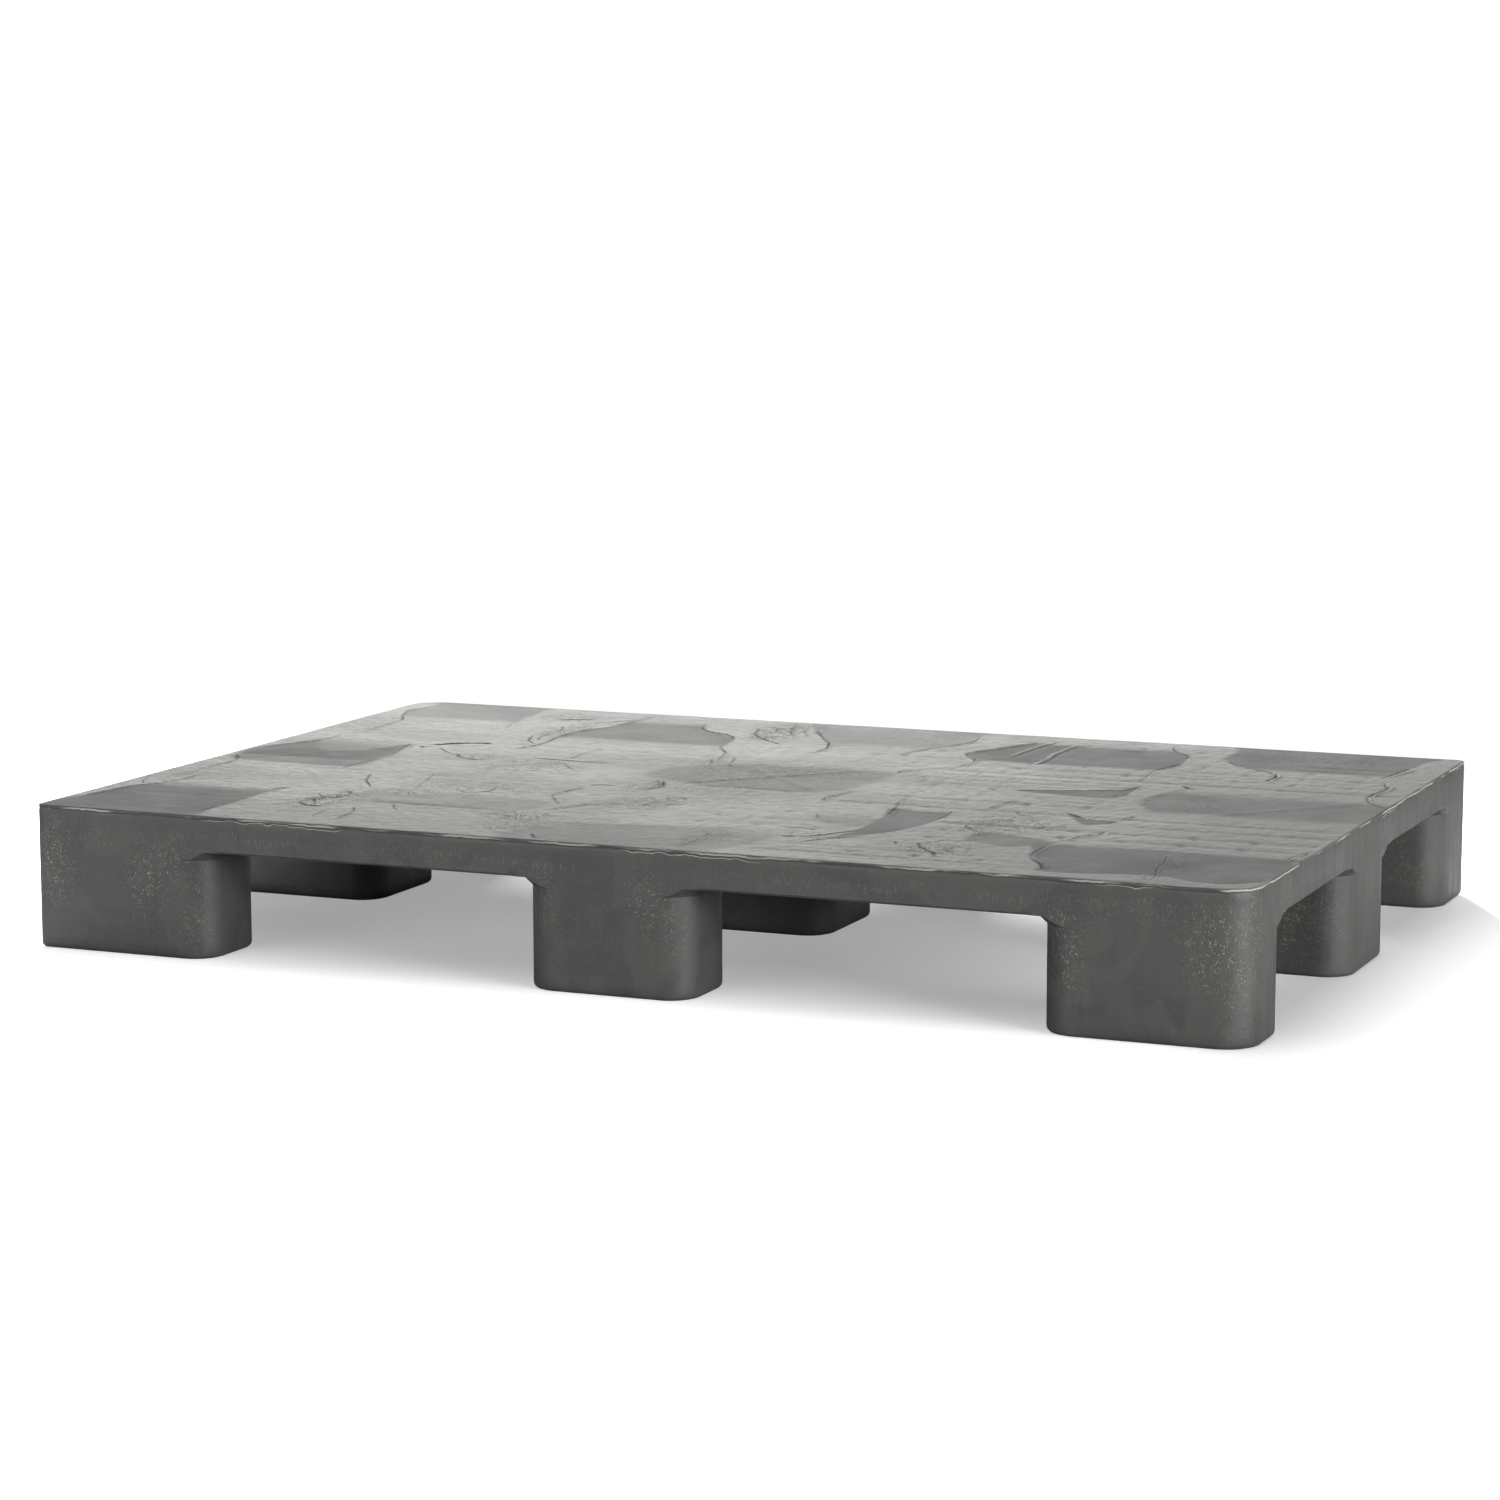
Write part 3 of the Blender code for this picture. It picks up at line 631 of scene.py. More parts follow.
def deck_shell():
    """The deck with its edge, and a flat underside."""
    half_x, half_y = HALF_X - EDGE_ROUND, HALF_Y - EDGE_ROUND
    radii = [radius - EDGE_ROUND for radius in DECK_RADII]
    x_lines = grid_lines(half_x, fine_zone=0.036, fine_step=0.0024, step=0.0028)
    y_lines = grid_lines(half_y, fine_zone=0.020, fine_step=0.0025, step=0.0046)
    x, y = round_corners(*np.meshgrid(x_lines, y_lines), half_x, half_y, radii)
    relief = top_relief(x, y)
    points = [np.stack([x, y, TOP + relief], axis=-1).reshape(-1, 3)]
    index = np.arange(x.size).reshape(x.shape)
    quads = np.stack([index[:-1, :-1], index[:-1, 1:], index[1:, 1:], index[1:, :-1]], axis=-1)
    faces = [quads.reshape(-1, 4)]

    border = np.concatenate([index[0, :], index[1:, -1], index[-1, -2::-1], index[-2:0:-1, 0]])
    edge_x, edge_y, edge_relief = (field.ravel()[border] for field in (x, y, relief))
    normal = outward(edge_x, edge_y, half_x, half_y, radii)
    ragged = 0.5 + 0.5 * RAGGED.rough(edge_x, edge_y, size=0.012, octaves=3)
    chamfer = BOTTOM_CHAMFER * (1 - over_foot(edge_x, edge_y))

    # Rings round the edge, going down: how far out, how high, and their share of the top's relief
    rings = [(EDGE_ROUND * math.sin(turn), TOP - EDGE_ROUND * (1 - math.cos(turn)), math.cos(turn))
             for turn in np.radians([22.5, 45, 67.5, 90])]
    rings += [(EDGE_ROUND, z, 0.0) for z in SIDE_RINGS + (DECK_BOTTOM,)]
    previous = border
    first = x.size
    for out, z, share in rings:
        if z == DECK_BOTTOM:
            reach = out - chamfer
        else:
            reach = out - side_relief(edge_x, edge_y, np.full(edge_x.shape, z)) * (1 - share)
            reach = reach - EDGE_RAGGED * ragged * share
        points.append(np.column_stack([edge_x + normal[:, 0] * reach, edge_y + normal[:, 1] * reach,
                                       z + edge_relief * share ** 2]))
        ring = first + np.arange(len(border))
        first += len(border)
        faces.append(np.stack([previous, ring, np.roll(ring, -1), np.roll(previous, -1)], axis=-1))
        previous = ring
    polygons = np.vstack(faces).tolist() + [previous[::-1].tolist()]
    return make_mesh("deck_skin", np.vstack(points).tolist(), polygons)


def add_prism(shape, points, bottom, top, draft=0.0):
    """A closed prism. draft: how much wider each side is at the bottom."""
    centre = np.mean(points, axis=0)
    wide = [(px + math.copysign(draft, px - centre[0]), py + math.copysign(draft, py - centre[1]))
            for px, py in points] if draft else points
    lower = [shape.verts.new((px, py, bottom)) for px, py in wide]
    upper = [shape.verts.new((px, py, top)) for px, py in points]
    count = len(points)
    for k in range(count):
        following = (k + 1) % count
        shape.faces.new((lower[k], lower[following], upper[following], upper[k]))
    shape.faces.new(lower[::-1])
    shape.faces.new(upper)


def corners_of(low, high):
    return [(high[0], low[1]), (high[0], high[1]), (low[0], high[1]), (low[0], low[1])]


def channel_outline(side):
    """A tube's channel in plan, wider where the three retainers sit."""
    along = [(-CHANNEL_HALF_LENGTH, CHANNEL_HALF_WIDTH)]
    for x in RETAINER_X:
        start, end = x - RETAINER_HALF_LENGTH, x + RETAINER_HALF_LENGTH
        along += [(start, CHANNEL_HALF_WIDTH), (start, RETAINER_HALF_WIDTH),
                  (end, RETAINER_HALF_WIDTH), (end, CHANNEL_HALF_WIDTH)]
    along.append((CHANNEL_HALF_LENGTH, CHANNEL_HALF_WIDTH))
    middle = side * TUBE_Y
    return [(x, middle - y) for x, y in along] + [(x, middle + y) for x, y in reversed(along)]


def subtract(target, shape):
    """Cuts a bmesh out of the target for good."""
    bmesh.ops.recalc_face_normals(shape, faces=shape.faces)
    mesh = bpy.data.meshes.new("cutter")
    shape.to_mesh(mesh)
    shape.free()
    cutter = link("cutter", mesh)
    modifier = target.modifiers.new("cut", "BOOLEAN")
    modifier.operation = "DIFFERENCE"
    modifier.solver = "MANIFOLD"
    modifier.object = cutter
    bpy.context.view_layer.update()
    evaluated = target.evaluated_get(bpy.context.evaluated_depsgraph_get())
    result = bpy.data.meshes.new_from_object(evaluated)
    target.modifiers.clear()
    old = target.data
    target.data = result
    bpy.data.meshes.remove(old)
    bpy.data.objects.remove(cutter)
    bpy.data.meshes.remove(mesh)


def pocket_spans(low, lines, high):
    """Start and end of every pocket between the ribs of one direction."""
    edges = [low] + [v for line in lines for v in (line - RIB / 2, line + RIB / 2)] + [high]
    return list(zip(edges[::2], edges[1::2]))


def make_deck():
    deck = link("deck_body", deck_shell())
    cuts = bmesh.new()
    below = DECK_BOTTOM - CUT_START
    for x_lines, y_lines, low, high in rib_bays():
        for x_low, x_high in pocket_spans(low[0], x_lines, high[0]):
            for y_low, y_high in pocket_spans(low[1], y_lines, high[1]):
                pocket = corners_of((x_low, y_low), (x_high, y_high))
                add_prism(cuts, pocket, below, POCKET_TOP, POCKET_DRAFT)
    for side in (-1, 1):
        add_prism(cuts, channel_outline(side), below, CHANNEL_TOP)
    subtract(deck, cuts)
    return deck


# ---------------------------------------------------------------- feet

def outline(low, high, radii, grow=(0, 0, 0, 0), steps=14):
    """Rounded rectangle, counter-clockwise from its front right corner, as in the CAD."""
    right, rear, left, front = grow
    sides = ((high[0], low[1], right, front), (high[0], high[1], right, rear),
             (low[0], high[1], left, rear), (low[0], low[1], left, front))
    points = []
    for (sign_x, sign_y), (x, y, grow_x, grow_y), radius in zip(corner_signs(), sides, radii):
        middle = (x - sign_x * radius, y - sign_y * radius)
        spread = max(grow_x, grow_y)
        lean = math.acos(radius / (radius + spread))
        near_x = 0 if grow_x == spread else lean
        near_y = math.pi / 2 if grow_y == spread else math.pi / 2 - lean
        angles = [near_x + (near_y - near_x) * k / steps for k in range(steps + 1)]
        arc = [(middle[0] + sign_x * (radius + spread) * math.cos(a),
                middle[1] + sign_y * (radius + spread) * math.sin(a)) for a in angles]
        points += arc if sign_x == sign_y else arc[::-1]
    return points


def foot_radii(node):
    """A corner foot shares the deck's radius at the deck's corner."""
    radii = [FOOT_CORNER] * 4
    corners = ("foot_front_right", "foot_rear_right", "foot_rear_left", "foot_front_left")
    if node in corners:
        radii[corners.index(node)] = DECK_RADII[corners.index(node)]
    return radii


def sides_of(points):
    return zip(points, points[1:] + points[:1])


def foot_skin(node, low, high, radii, flares):
    """The foot as a closed solid. low and high: its straight part; flares: 1 for a side that flares."""
    profile = [(-SOLE_BEVEL * (1 - math.sin(a)), SOLE_BEVEL * (1 - math.cos(a)))
               for a in np.radians([0, 30, 60, 90])]
    flare_start = DECK_BOTTOM - FOOT_FLARE
    profile += [(0.0, z) for z in np.linspace(SOLE_BEVEL, flare_start, 13)[1:]]
    profile += [(FOOT_FLARE * t, flare_start + FOOT_FLARE * t) for t in (0.15, 0.35, 0.55, 0.75, 0.9, 1.0)]
    splits = [max(1, math.ceil(math.hypot(bx - ax, by - ay) / FOOT_STEP))
              for (ax, ay), (bx, by) in sides_of(outline(low, high, radii))]
    vertices, faces = [], []
    previous = None
    for grow, z in profile:
        if grow < 0:
            inset_low = (low[0] - grow, low[1] - grow)
            inset_high = (high[0] + grow, high[1] + grow)
            ring = outline(inset_low, inset_high, [max(radius + grow, SOLE_BEVEL) for radius in radii])
        else:
            ring = outline(low, high, radii, [grow * flare for flare in flares])
        indices = []
        for ((ax, ay), (bx, by)), count in zip(sides_of(ring), splits):
            for k in range(count):
                indices.append(len(vertices))
                vertices.append((ax + (bx - ax) * k / count, ay + (by - ay) * k / count, z))
        if previous is None:
            faces.append(indices[::-1])
        else:
            below, above = (list(sides_of(ring_indices)) for ring_indices in (previous, indices))
            faces += [(b0, b1, a1, a0) for (b0, b1), (a0, a1) in zip(below, above)]
        previous = indices
    faces.append(previous)
    return make_mesh(node + "_skin", vertices, faces)


def make_foot(node):
    low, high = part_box(node)
    flares = [int(high.x < HALF_X - 1e-4), int(high.y < HALF_Y - 1e-4),
              int(low.x > -HALF_X + 1e-4), int(low.y > -HALF_Y + 1e-4)]
    low = (low.x + FOOT_FLARE * flares[2], low.y + FOOT_FLARE * flares[3])
    high = (high.x - FOOT_FLARE * flares[0], high.y - FOOT_FLARE * flares[1])
    radii = foot_radii(node)
    foot = link(node + "_body", foot_skin(node, low, high, radii, flares))
    cavity = bmesh.new()
    inner = outline((low[0] + FOOT_WALL, low[1] + FOOT_WALL), (high[0] - FOOT_WALL, high[1] - FOOT_WALL),
                    [radius - FOOT_WALL for radius in radii])
    add_prism(cavity, inner, FOOT_SOLE, DECK_BOTTOM + CAVITY_OVERSHOOT)
    subtract(foot, cavity)
    return foot


# ---------------------------------------------------------------- materials

class Nodes:
    """Adds shader nodes to a tree in a few words."""

    def __init__(self, tree):
        self.tree = tree

    def feed(self, socket, source):
        if isinstance(source, bpy.types.NodeSocket):
            self.tree.links.new(source, socket)
        else:
            socket.default_value = source

    def node(self, kind, inputs=None, **settings):
        made = self.tree.nodes.new("ShaderNode" + kind)
        for key, setting in settings.items():
            setattr(made, key, setting)
        for key, source in (inputs or {}).items():
            self.feed(made.inputs[key], source)
        return made

    def math(self, operation, a, b=0.0, clamp=False):
        return self.node("Math", {0: a, 1: b}, operation=operation, use_clamp=clamp).outputs[0]

    def plus(self, a, b):
        return self.math("ADD", a, b)

    def minus(self, a, b):
        return self.math("SUBTRACT", a, b)

    def times(self, a, b, clamp=False):
        return self.math("MULTIPLY", a, b, clamp)

    def apart(self, a, b):
        return self.math("ABSOLUTE", self.minus(a, b))

    def axes(self, kind="Object"):
        return self.node("SeparateXYZ", {0: self.node("TexCoord").outputs[kind]}).outputs

    def camera_ray(self):
        return self.node("LightPath").outputs["Is Camera Ray"]

    def ramp(self, source, start, end, low=0.0, high=1.0, kind="SMOOTHSTEP"):
        made = self.node("MapRange", {"Value": source, "From Min": start, "From Max": end,
                                      "To Min": low, "To Max": high}, interpolation_type=kind)
        return made.outputs["Result"]

    def mix(self, share, a, b):
        """Input 6 and 7 and output 2 of the node are its colours."""
        return self.node("Mix", {0: share, 6: a, 7: b}, data_type="RGBA").outputs[2]


class Shader(Nodes):
    """A node material."""

    def __init__(self, name):
        self.material = bpy.data.materials.new(name)
        self.material.use_nodes = True
        super().__init__(self.material.node_tree)
        self.surface = self.tree.nodes["Principled BSDF"]

    def set(self, name, source):
        self.feed(self.surface.inputs[name], source)

    def attribute(self, name):
        return self.node("Attribute", attribute_name=name).outputs["Fac"]

    def place(self, scale, turn):
        coordinates = self.node("TexCoord").outputs["Object"]
        return self.node("Mapping", {"Vector": coordinates, "Scale": scale, "Rotation": turn}).outputs[0]

    def noise(self, scale, detail=3.0, roughness=0.5, stretch=(1, 1, 1), turn=(0, 0, 0), distortion=0.0):
        return self.node("TexNoise", {"Vector": self.place(stretch, turn), "Scale": scale, "Detail": detail,
                                      "Roughness": roughness, "Distortion": distortion}).outputs["Fac"]

    def cells(self, scale, stretch, turn=(0, 0, 0)):
        """Distance to the middle of the nearest cell."""
        vector = self.place(stretch, turn)
        return self.node("TexVoronoi", {"Vector": vector, "Scale": scale}).outputs["Distance"]

    def bump(self, height, distance, strength=1.0, normal=None):
        made = self.node("Bump", {"Height": height, "Distance": distance, "Strength": strength})
        if normal is not None:
            self.feed(made.inputs["Normal"], normal)
        return made.outputs["Normal"]


# Colours of the plastic's top
STREAKS = (0.100, 0.102, 0.097, 1), (0.150, 0.150, 0.143, 1)
MOTTLE = (0.110, 0.113, 0.107, 1)
CLOUD = (0.205, 0.203, 0.192, 1)
PEBBLE = (0.088, 0.090, 0.086, 1)
RIGHT_END = (0.094, 0.096, 0.090, 1)
DARK_SKIN = (0.050, 0.052, 0.050, 1), (0.068, 0.070, 0.067, 1)
# Painted shade for the grooves of creases and for the seam under the deck's edge
CREASE_SHADE = (0.022, 0.023, 0.022, 1)
# Painted shade along the fold lines of wrinkled skin
FOLD_SHADE = (0.045, 0.046, 0.045, 1)

# Colours of its upright faces
SIDE_SKIN = (0.061, 0.0625, 0.0595, 1), (0.079, 0.0805, 0.0765, 1)
LOBE = (0.094, 0.096, 0.090, 1)
RIPPLE = (0.110, 0.113, 0.105, 1)
# Pale fibre specks; at the front corners' top edge the same colour paints glints, a painted highlight.
FIBRE_AND_GLINT = (0.44, 0.42, 0.37, 1)
DASH = (0.20, 0.20, 0.18, 1)
# Painted highlight along the flash and at the foot of the rounded top edge
FLASH_HIGHLIGHT = (0.52, 0.52, 0.48, 1)

# Heights of the lines round the deck's edge: a dark seam line that is painted shade, and pale flash lines
# that are painted highlight
DASH_ROW = 0.114, 0.124
SEAM_SHADE_Z, FLASH_HIGHLIGHT_Z, SECOND_FLASH_HIGHLIGHT_Z = 0.1362, 0.1374, 0.1345


def top_colours(s, mottle, pebble, streak, depth):
    """The top without its creases: streaky clear skin, and dark skin where depth is 1."""
    cloud = s.noise(4.5, 3.0, 0.5, (1, 2.0, 2.0))
    light = s.mix(s.ramp(streak, 0.38, 0.62), *STREAKS)
    light = s.mix(s.ramp(mottle, 0.40, 0.66, 0.0, 0.45), light, MOTTLE)
    light = s.mix(s.ramp(cloud, 0.42, 0.62, 0.0, 0.35), light, CLOUD)
    light = s.mix(s.ramp(pebble, 0.44, 0.62, 0.0, 0.42), light, PEBBLE)
    light = s.mix(s.ramp(s.axes()["X"], 0.22, 0.56, 0.0, 0.62), light, RIGHT_END)
    dark = s.mix(s.ramp(mottle, 0.35, 0.65), *DARK_SKIN)
    return s.mix(s.times(depth, 0.85, clamp=True), light, dark)


def pale_fibres_and_glints(s):
    """Short slanting specks of two sizes, where the fleck attribute puts them: pale fibres, and at the front
    corners' top edge painted glints.
    """
    coarse = s.ramp(s.cells(760.0, (1, 1, 0.42), (0, 0.6, 0)), 0.34, 0.14)
    fine = s.ramp(s.cells(1300.0, (1, 1, 0.3), (0, -0.5, 0)), 0.30, 0.12, 0.0, 0.7)
    scatter = s.ramp(s.noise(170.0, 3.0, 0.6), 0.38, 0.60)
    everywhere = s.plus(s.attribute("fleck"), 0.07)
    return s.math("MINIMUM", s.times(s.times(s.plus(coarse, fine), scatter), everywhere), 0.85)


def faint_dashes(s, height):
    """A wandering row of short upright dashes half way up the deck's edge."""
    middle = s.ramp(s.noise(24.0, 2.0), 0.3, 0.7, *DASH_ROW, "LINEAR")
    row = s.ramp(s.apart(height, middle), 0.0, 0.0060, 1.0, 0.0)
    dash = s.times(s.ramp(s.noise(1.0, 1.0, 0.5, (620, 620, 90)), 0.52, 0.68), row)
    return s.times(dash, s.ramp(s.noise(11.0, 1.0), 0.44, 0.58, 0.05, 0.40))


def side_colours(s, mottle):
    """The upright faces, with the height of their ripple and of the flash under the top's edge. A dark line
    along the seam under the edge is painted shade; pale lines at the foot of the rounded edge and along the
    flash are painted highlight.
    """
    along, _, height = s.axes()
    colour = s.mix(s.ramp(mottle, 0.35, 0.65), *SIDE_SKIN)
    lobes = s.noise(13.0, 1.5, 0.5, (1, 1, 0.8), distortion=1.2)
    colour = s.mix(s.ramp(lobes, 0.49, 0.54, 0.0, 0.4), colour, LOBE)
    end_face = s.ramp(s.math("ABSOLUTE", along), HALF_X - 0.012, HALF_X - 0.002, 0.25, 1.0)
    ripple = s.times(s.ramp(s.noise(1.0, 2.0, 0.5, (60, 60, 7)), 0.40, 0.64), end_face)
    colour = s.mix(s.times(ripple, 0.22), colour, RIPPLE)
    colour = s.mix(pale_fibres_and_glints(s), colour, FIBRE_AND_GLINT)
    colour = s.mix(faint_dashes(s, height), colour, DASH)

    wave = s.ramp(s.noise(38.0, 3.0, 0.6), 0.3, 0.7, -0.0012, 0.0012, "LINEAR")
    waved = s.plus(height, wave)
    # Painted shade: a dark line along the seam under the rounded top edge.
    seam_shade = s.ramp(s.apart(waved, SEAM_SHADE_Z), 0.0002, 0.0009, 0.65, 0.0)
    colour = s.mix(seam_shade, colour, CREASE_SHADE)
    # Painted highlight: pale wavy lines at the foot of the rounded top edge and along the flash; these also
    # give the flash its bump.
    first = s.ramp(s.apart(waved, FLASH_HIGHLIGHT_Z), 0.0003, 0.0014, 1.0, 0.0)
    first = s.times(first, s.ramp(s.noise(17.0, 2.0), 0.42, 0.56))
    second = s.ramp(s.apart(s.plus(waved, wave), SECOND_FLASH_HIGHLIGHT_Z), 0.0001, 0.0006)
    second = s.times(s.minus(1.0, second), s.ramp(s.noise(9.0, 1.0), 0.52, 0.60))
    flash_highlight = s.times(s.math("MAXIMUM", first, second), 0.8)
    return s.mix(flash_highlight, colour, FLASH_HIGHLIGHT), s.plus(ripple, s.times(flash_highlight, 0.6))


def crease_shape(s):
    """How strongly creases (above 0) or ridges (below 0) mark each point, and their relief. The mark paints
    shade into the creases' grooves and gives ridges the lighter streaks' colour.
    """
    crease_shade_and_ridge_tone, relief = 0.0, 0.0
    for number in range(len(CREASE_LAYERS)):
        ragged = s.ramp(s.noise(260.0, 2.0), 0.3, 0.7, -0.5, 0.5, "LINEAR")
        gap = s.plus(s.attribute(f"crease_{number}"), ragged)
        strength = s.attribute(f"crease_{number}_size")
        groove = s.ramp(s.math("ABSOLUTE", gap), 0.2, 1.1, 1.0, 0.0)
        lip = s.ramp(s.apart(gap, 1.7), 0.1, 1.3, 1.0, 0.0)
        crease_shade_and_ridge_tone = s.plus(crease_shade_and_ridge_tone, s.times(strength, groove))
        relief = s.plus(relief, s.times(strength, s.minus(s.times(lip, 0.6), groove)))
    return crease_shade_and_ridge_tone, relief


def recycled_plastic():
    s = Shader("recycled_plastic_skin")
    top = s.attribute("top")
    depth = s.times(s.ramp(s.attribute("patch_edge"), 1.0, -1.0), s.attribute("patch_dark"))
    clear = s.minus(1.0, s.math("MINIMUM", depth, 1.0))
    fibres = s.noise(1.0, 4.0, 0.6, (45, 420, 420))
    threads = s.noise(1.0, 3.0, 0.55, (160, 900, 900), (0, 0, 0.35))
    streak = s.plus(s.times(fibres, 0.6), s.times(threads, 0.4))
    mottle = s.noise(14.0, 4.0, 0.6)
    pebble = s.noise(95.0, 3.0, 0.55, (1, 0.8, 1))

    crease_shade_and_ridge_tone, relief = crease_shape(s)
    wrinkled = s.noise(70.0, 3.0, 0.5, (1, 0.7, 1), distortion=1.5)
    fold = s.times(s.ramp(s.apart(wrinkled, 0.5), 0.0, 0.06, 1.0, 0.0), s.attribute("wrinkle"))
    top_colour = top_colours(s, mottle, pebble, streak, depth)
    # Painted shade in the creases' grooves; ridges take the lighter streaks' colour.
    top_colour = s.mix(s.times(crease_shade_and_ridge_tone, 0.85, clamp=True), top_colour, CREASE_SHADE)
    top_colour = s.mix(s.times(crease_shade_and_ridge_tone, -0.8, clamp=True), top_colour, STREAKS[1])
    # Painted shade along the fold lines.
    top_colour = s.mix(s.times(fold, 0.6, clamp=True), top_colour, FOLD_SHADE)
    side_colour, side_height = side_colours(s, mottle)
    s.set("Base Color", s.mix(top, side_colour, top_colour))

    upright = s.minus(1.0, top)
    rough_top = s.plus(s.ramp(streak, 0.35, 0.65, 0.42, 0.52), s.times(depth, 0.06))
    rough_side = s.ramp(mottle, 0.3, 0.7, 0.46, 0.60)
    s.set("Roughness", s.plus(s.times(top, rough_top), s.times(upright, rough_side)))
    s.set("Specular IOR Level", 0.5)

    pebbled = s.times(s.times(pebble, top), s.plus(s.times(clear, 0.7), 0.3))
    streaked = s.times(streak, s.plus(s.times(clear, 0.85), 0.15))
    normal = s.bump(s.minus(relief, fold), 0.0014)
    normal = s.bump(pebbled, 0.0016, 1.0, normal)
    normal = s.bump(streaked, 0.0002, 1.0, normal)
    normal = s.bump(s.times(side_height, upright), 0.0006, 1.0, normal)
    s.set("Normal", s.bump(s.noise(700.0, 2.0), 0.00012, 0.6, normal))
    return s.material


def galvanised():
    s = Shader("galvanised_zinc")
    spangle = s.cells(160.0, (1, 1.6, 1.6))
    tone = s.mix(s.ramp(spangle, 0.1, 0.6), (0.62, 0.64, 0.66, 1), (0.44, 0.46, 0.48, 1))
    cloud = s.noise(30.0, 4.0, 0.6)
    s.set("Base Color", s.mix(s.ramp(cloud, 0.45, 0.7, 0.0, 0.5), tone, (0.36, 0.37, 0.37, 1)))
    s.set("Metallic", 1.0)
    s.set("Roughness", s.ramp(cloud, 0.3, 0.7, 0.34, 0.55))
    s.set("Normal", s.bump(s.noise(220.0, 3.0, 0.5, (0.3, 1, 1)), 0.0002))
    return s.material


def moulded(name, dark, light, rough):
    s = Shader(name)
    cloud = s.noise(60.0, 4.0, 0.6)
    s.set("Base Color", s.mix(s.ramp(cloud, 0.35, 0.65), (*dark, 1), (*light, 1)))
    s.set("Roughness", s.ramp(cloud, 0.3, 0.7, rough - 0.06, rough + 0.08))
    s.set("Normal", s.bump(s.noise(1200.0, 2.0), 0.00015))
    return s.material


# Pale specks in the upright faces: centre in mm, half width along the face, half height, and amount.
FLECKS = (
    (-582, -400, 84, 22, 40, 1.0), (-478, -400, 74, 20, 34, 0.9), (-455, -400, 92, 26, 22, 0.8),
    (-540, -400, 110, 50, 12, 0.35), (-425, -400, 50, 18, 40, 0.5),
    (-64, -400, 84, 16, 30, 0.6), (40, -400, 90, 16, 26, 0.8), (62, -400, 74, 22, 30, 0.5),
    (-20, -400, 60, 40, 30, 0.15), (434, -400, 72, 16, 34, 0.9), (428, -400, 96, 22, 16, 0.8),
    (566, -400, 90, 26, 34, 0.9), (590, -398, 60, 18, 40, 0.6), (500, -400, 116, 60, 10, 0.3),
    (-200, -400, 118, 90, 8, 0.35), (200, -400, 118, 120, 8, 0.25),
    # These two, on the top edge of the front corners, paint glints there: a painted highlight as pale specks.
    (592, -394, 138, 16, 3, 1.6), (-594, -398, 138, 12, 3, 1.4),
    (600, -385, 100, 16, 40, 0.8), (600, -350, 90, 20, 26, 0.3), (600, 20, 80, 30, 22, 0.2),
    (520, -75, 60, 60, 40, 0.8), (500, 295, 60, 60, 36, 0.6), (560, 298, 40, 30, 20, 0.5),
    (600, 370, 80, 24, 26, 0.2), (600, 380, 126, 20, 10, 0.6), (600, -290, 112, 16, 26, 0.5),
)


def paint(piece):
    """Stores, for each vertex, what its material reads."""
    mesh = piece.data

    def read(what):
        values = np.zeros(3 * len(mesh.vertices))
        mesh.vertices.foreach_get(what, values)
        return values.reshape(-1, 3).T

    x, y, z = read("co")
    upper = z > TOP - TOP_ZONE
    fleck = np.zeros(x.shape)
    for middle_x, middle_y, middle_z, wide, tall, amount in FLECKS:
        across = np.hypot(x / MM - middle_x, y / MM - middle_y) / wide
        fleck = np.maximum(fleck, amount * np.exp(-across ** 2 - ((z / MM - middle_z) / tall) ** 2))
    fields = {
        "top": smooth(0.30, 0.75, read("normal")[2]) * upper,
        "patch_edge": np.full(x.shape, FAR_FROM_PATCH),
        "patch_dark": np.zeros(x.shape),
        "fleck": fleck,
        "wrinkle": np.where(upper, wrinkle_field(x, y), 0.0),
    }
    for number in range(len(CREASE_LAYERS)):
        fields[f"crease_{number}"] = np.full(x.shape, FAR_FROM_CREASE)
        fields[f"crease_{number}_size"] = np.zeros(x.shape)
    if upper.any():
        at_x, at_y = x[upper], y[upper]
        fields["patch_edge"][upper], fields["patch_dark"][upper] = patch_fields(at_x, at_y)
        for number, (gap, size) in enumerate(crease_fields(at_x, at_y)):
            fields[f"crease_{number}"][upper] = gap
            fields[f"crease_{number}_size"][upper] = size
    for name, values in fields.items():
        attribute = mesh.attributes.new(name, "FLOAT", "POINT")
        attribute.data.foreach_set("value", values.astype(np.float32))
    mesh.shade_smooth()
    mesh.set_sharp_from_angle(angle=math.radians(38))


# ---------------------------------------------------------------- camera, light and floor

def area_light(name, location, target, size, power):
    data = bpy.data.lights.new(name, "AREA")
    data.shape = "RECTANGLE"
    data.size, data.size_y = size
    data.energy = power
    lamp = link(name, data)
    lamp.location = location
    lamp.rotation_euler = (Vector(target) - lamp.location).to_track_quat("-Z", "Y").to_euler()
    return lamp


def make_camera(scene):
    data = bpy.data.cameras.new("camera")
    data.sensor_width = 36.0
    data.lens = 93.49
    camera = link("camera", data)
    camera.location = (1.461, -3.517, 0.732)
    camera.rotation_euler = [math.radians(angle) for angle in (81.61, 0.08, 22.92)]
    scene.camera = camera


def make_lights():
    area_light("overhead", (0.1, 0.2, 3.0), (0, 0, 0), (3.0, 2.4), 50)
    area_light("right_fill", (3.4, -1.5, 0.8), (0.4, 0, 0.1), (1.6, 1.0), 112)
    area_light("front_fill", (-1.8, -3.9, 0.9), (0, 0, 0.1), (3.0, 1.2), 58)
    # Low and behind, so that it rakes the top's relief; its own reflection would wash that out
    key = area_light("key_behind", (-1.5, 2.9, 1.10), (-0.1, 0, 0.1), (1.4, 0.6), 1050)
    key.visible_glossy = False
    key.visible_camera = False


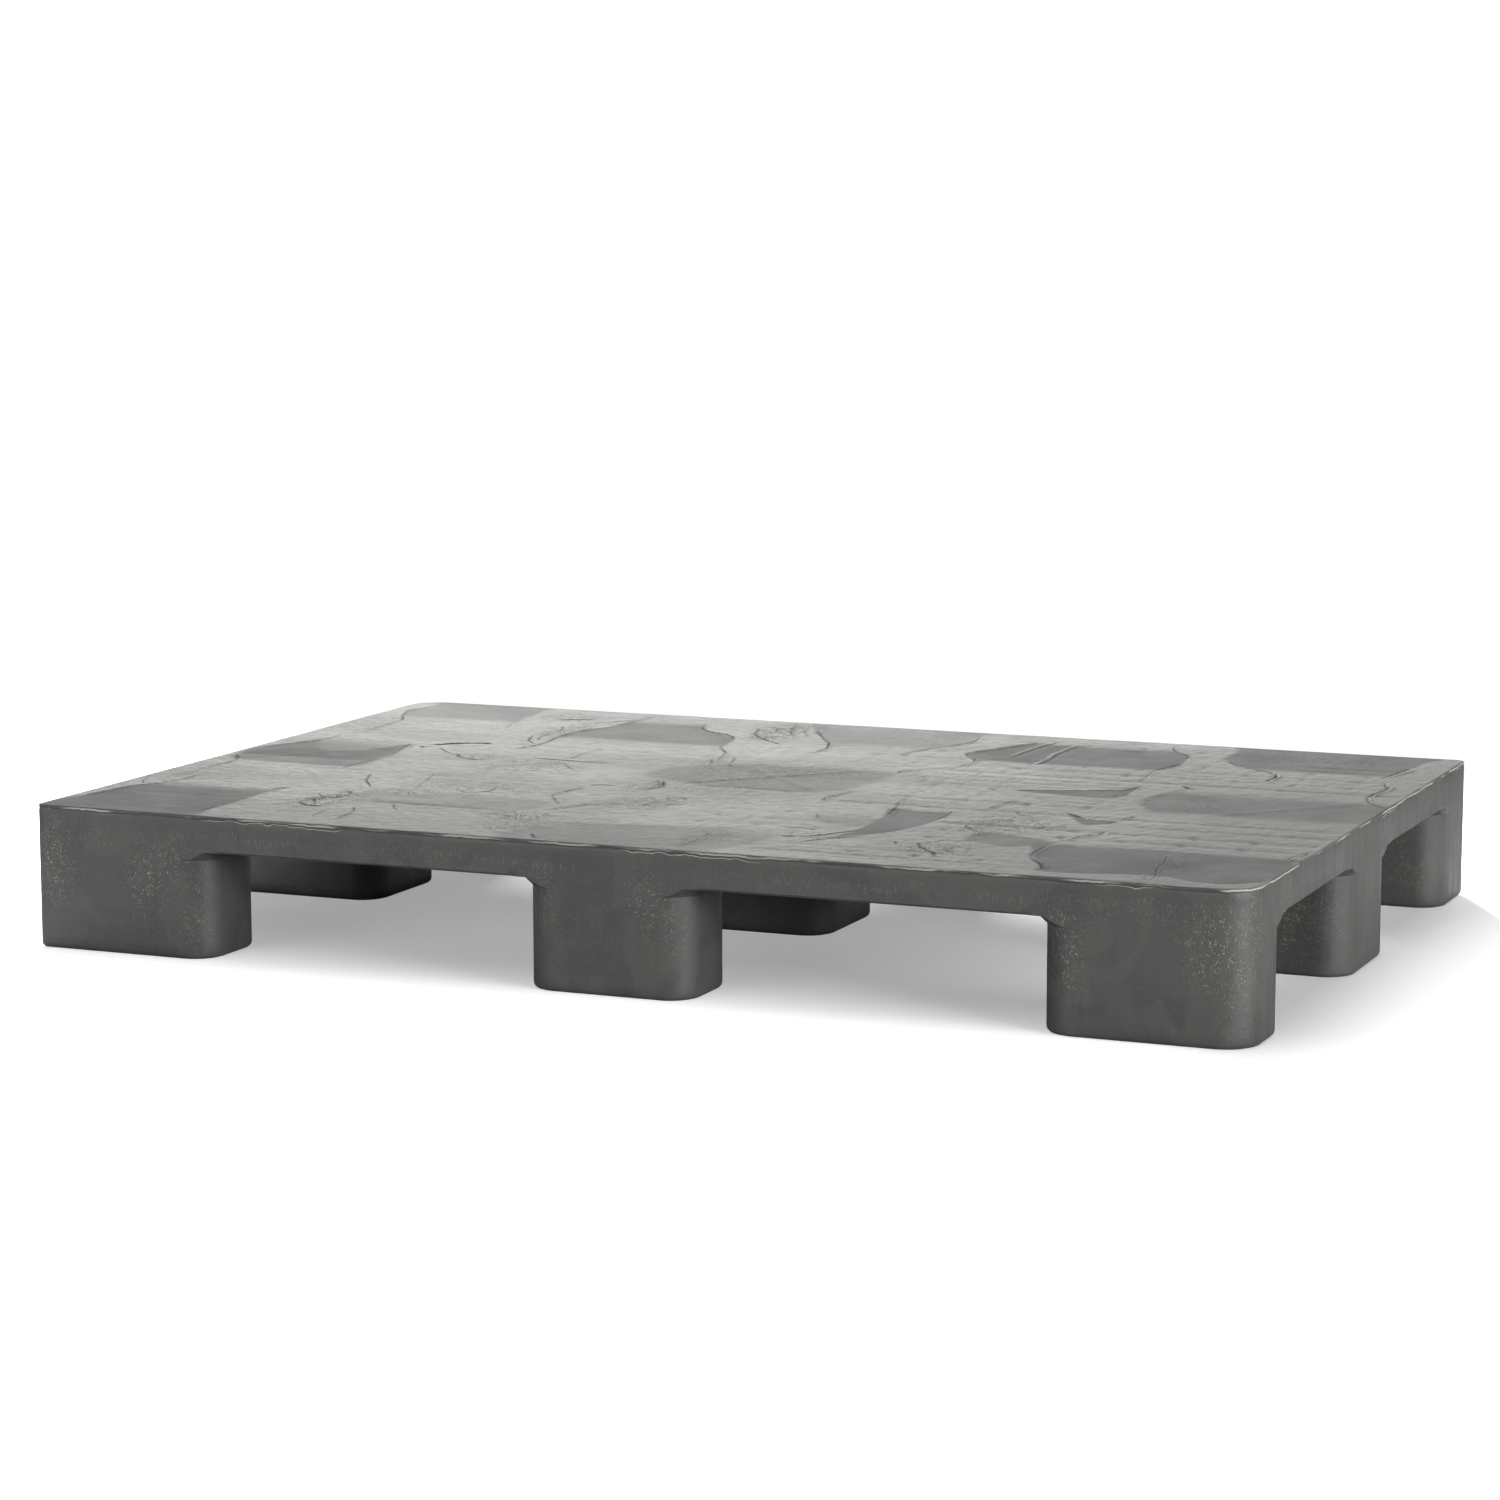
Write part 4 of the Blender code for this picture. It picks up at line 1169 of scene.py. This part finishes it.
def make_world(scene):
    """A bright wall low behind the object, brighter to the left, under a dimmer ceiling."""
    world = bpy.data.worlds.new("studio")
    world.use_nodes = True
    world.node_tree.nodes.clear()
    scene.world = world
    n = Nodes(world.node_tree)
    x, y, z = n.axes("Generated")
    wall = n.times(n.ramp(z, 0.10, 0.30, 1.0, 0.0), n.ramp(y, 0.1, 0.6))
    wall = n.times(wall, n.ramp(x, -0.8, 0.2, 0.8, 0.3))
    glow = n.node("Background", {"Color": (1, 1, 1, 1), "Strength": n.plus(wall, 0.15)})
    backdrop = n.node("Background", {"Color": (1, 1, 1, 1), "Strength": 1.04})
    seen = n.node("MixShader", {0: n.camera_ray(), 1: glow.outputs[0], 2: backdrop.outputs[0]})
    n.node("OutputWorld", {"Surface": seen.outputs[0]})


def make_floor():
    """Lit paper near the object, plain white further off; greyer for other rays than the camera's. For the
    camera it glows, less near the object and to its right: a painted shadow.
    """
    floor = link("floor", make_mesh("floor", [(-9, -9, 0), (9, -9, 0), (9, 14, 0), (-9, 14, 0)],
                                    [(0, 1, 2, 3)]))
    s = Shader("white_floor")
    seen = s.camera_ray()
    x, y, _ = s.axes()
    beyond = [s.math("MAXIMUM", s.minus(s.math("ABSOLUTE", along), half), 0.0)
              for along, half in ((x, HALF_X - 0.05), (y, HALF_Y - 0.12))]
    away = s.math("SQRT", s.plus(*(s.times(gap, gap) for gap in beyond)))
    paper = s.ramp(away, 0.25, 1.0, 1.0, 0.0)
    grey = s.mix(paper, (0.06, 0.06, 0.06, 1), (0.36, 0.36, 0.36, 1))
    white = s.mix(paper, (0.0, 0.0, 0.0, 1), (0.80, 0.80, 0.80, 1))
    s.set("Base Color", s.mix(seen, grey, white))
    s.set("Roughness", 0.9)
    s.set("Specular IOR Level", 0.0)
    # Painted shadow on the floor: for the camera the glow is weaker near the pallet, and weaker still to its
    # right.
    right_shade = s.times(s.ramp(x, 0.50, 0.62), s.ramp(away, 0.20, 0.60, 1.0, 0.0))
    glow_near = s.minus(s.ramp(away, 0.0, 0.22, 0.33, 0.68), s.times(right_shade, 0.22))
    glow_far = s.times(s.minus(1.0, paper), 0.36)
    s.set("Emission Color", (1, 1, 1, 1))
    s.set("Emission Strength", s.times(seen, s.plus(glow_near, glow_far)))
    floor.data.materials.append(s.material)


def make_studio():
    scene = bpy.context.scene
    scene.view_settings.view_transform = "Standard"
    make_camera(scene)
    make_lights()
    make_world(scene)
    make_floor()


# ---------------------------------------------------------------- putting it together

def finish_nodes(start, material):
    """Gives the CAD's own pieces whose names start this way their material."""
    for node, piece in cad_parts.items():
        if node.startswith(start):
            for place in piece.material_slots:
                place.link = "OBJECT"
                place.material = material


def main():
    make_studio()
    plastic = recycled_plastic()
    pieces = [(make_deck(), "deck")]
    pieces += [(make_foot(node), node) for node in sorted(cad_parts) if node.startswith("foot_")]
    for piece, node in pieces:
        paint(piece)
        piece.data.materials.clear()
        piece.data.materials.append(plastic)
        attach(piece, "root")
        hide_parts(node)
    black = moulded("plug_black", (0.018,) * 3, (0.030,) * 3, 0.5)
    charcoal = moulded("retainer_charcoal", (0.040, 0.042, 0.040), (0.062, 0.064, 0.062), 0.55)
    finish_nodes("reinforcement_tube", galvanised())
    finish_nodes("tube_end_plug", black)
    finish_nodes("tube_retainer", charcoal)


main()
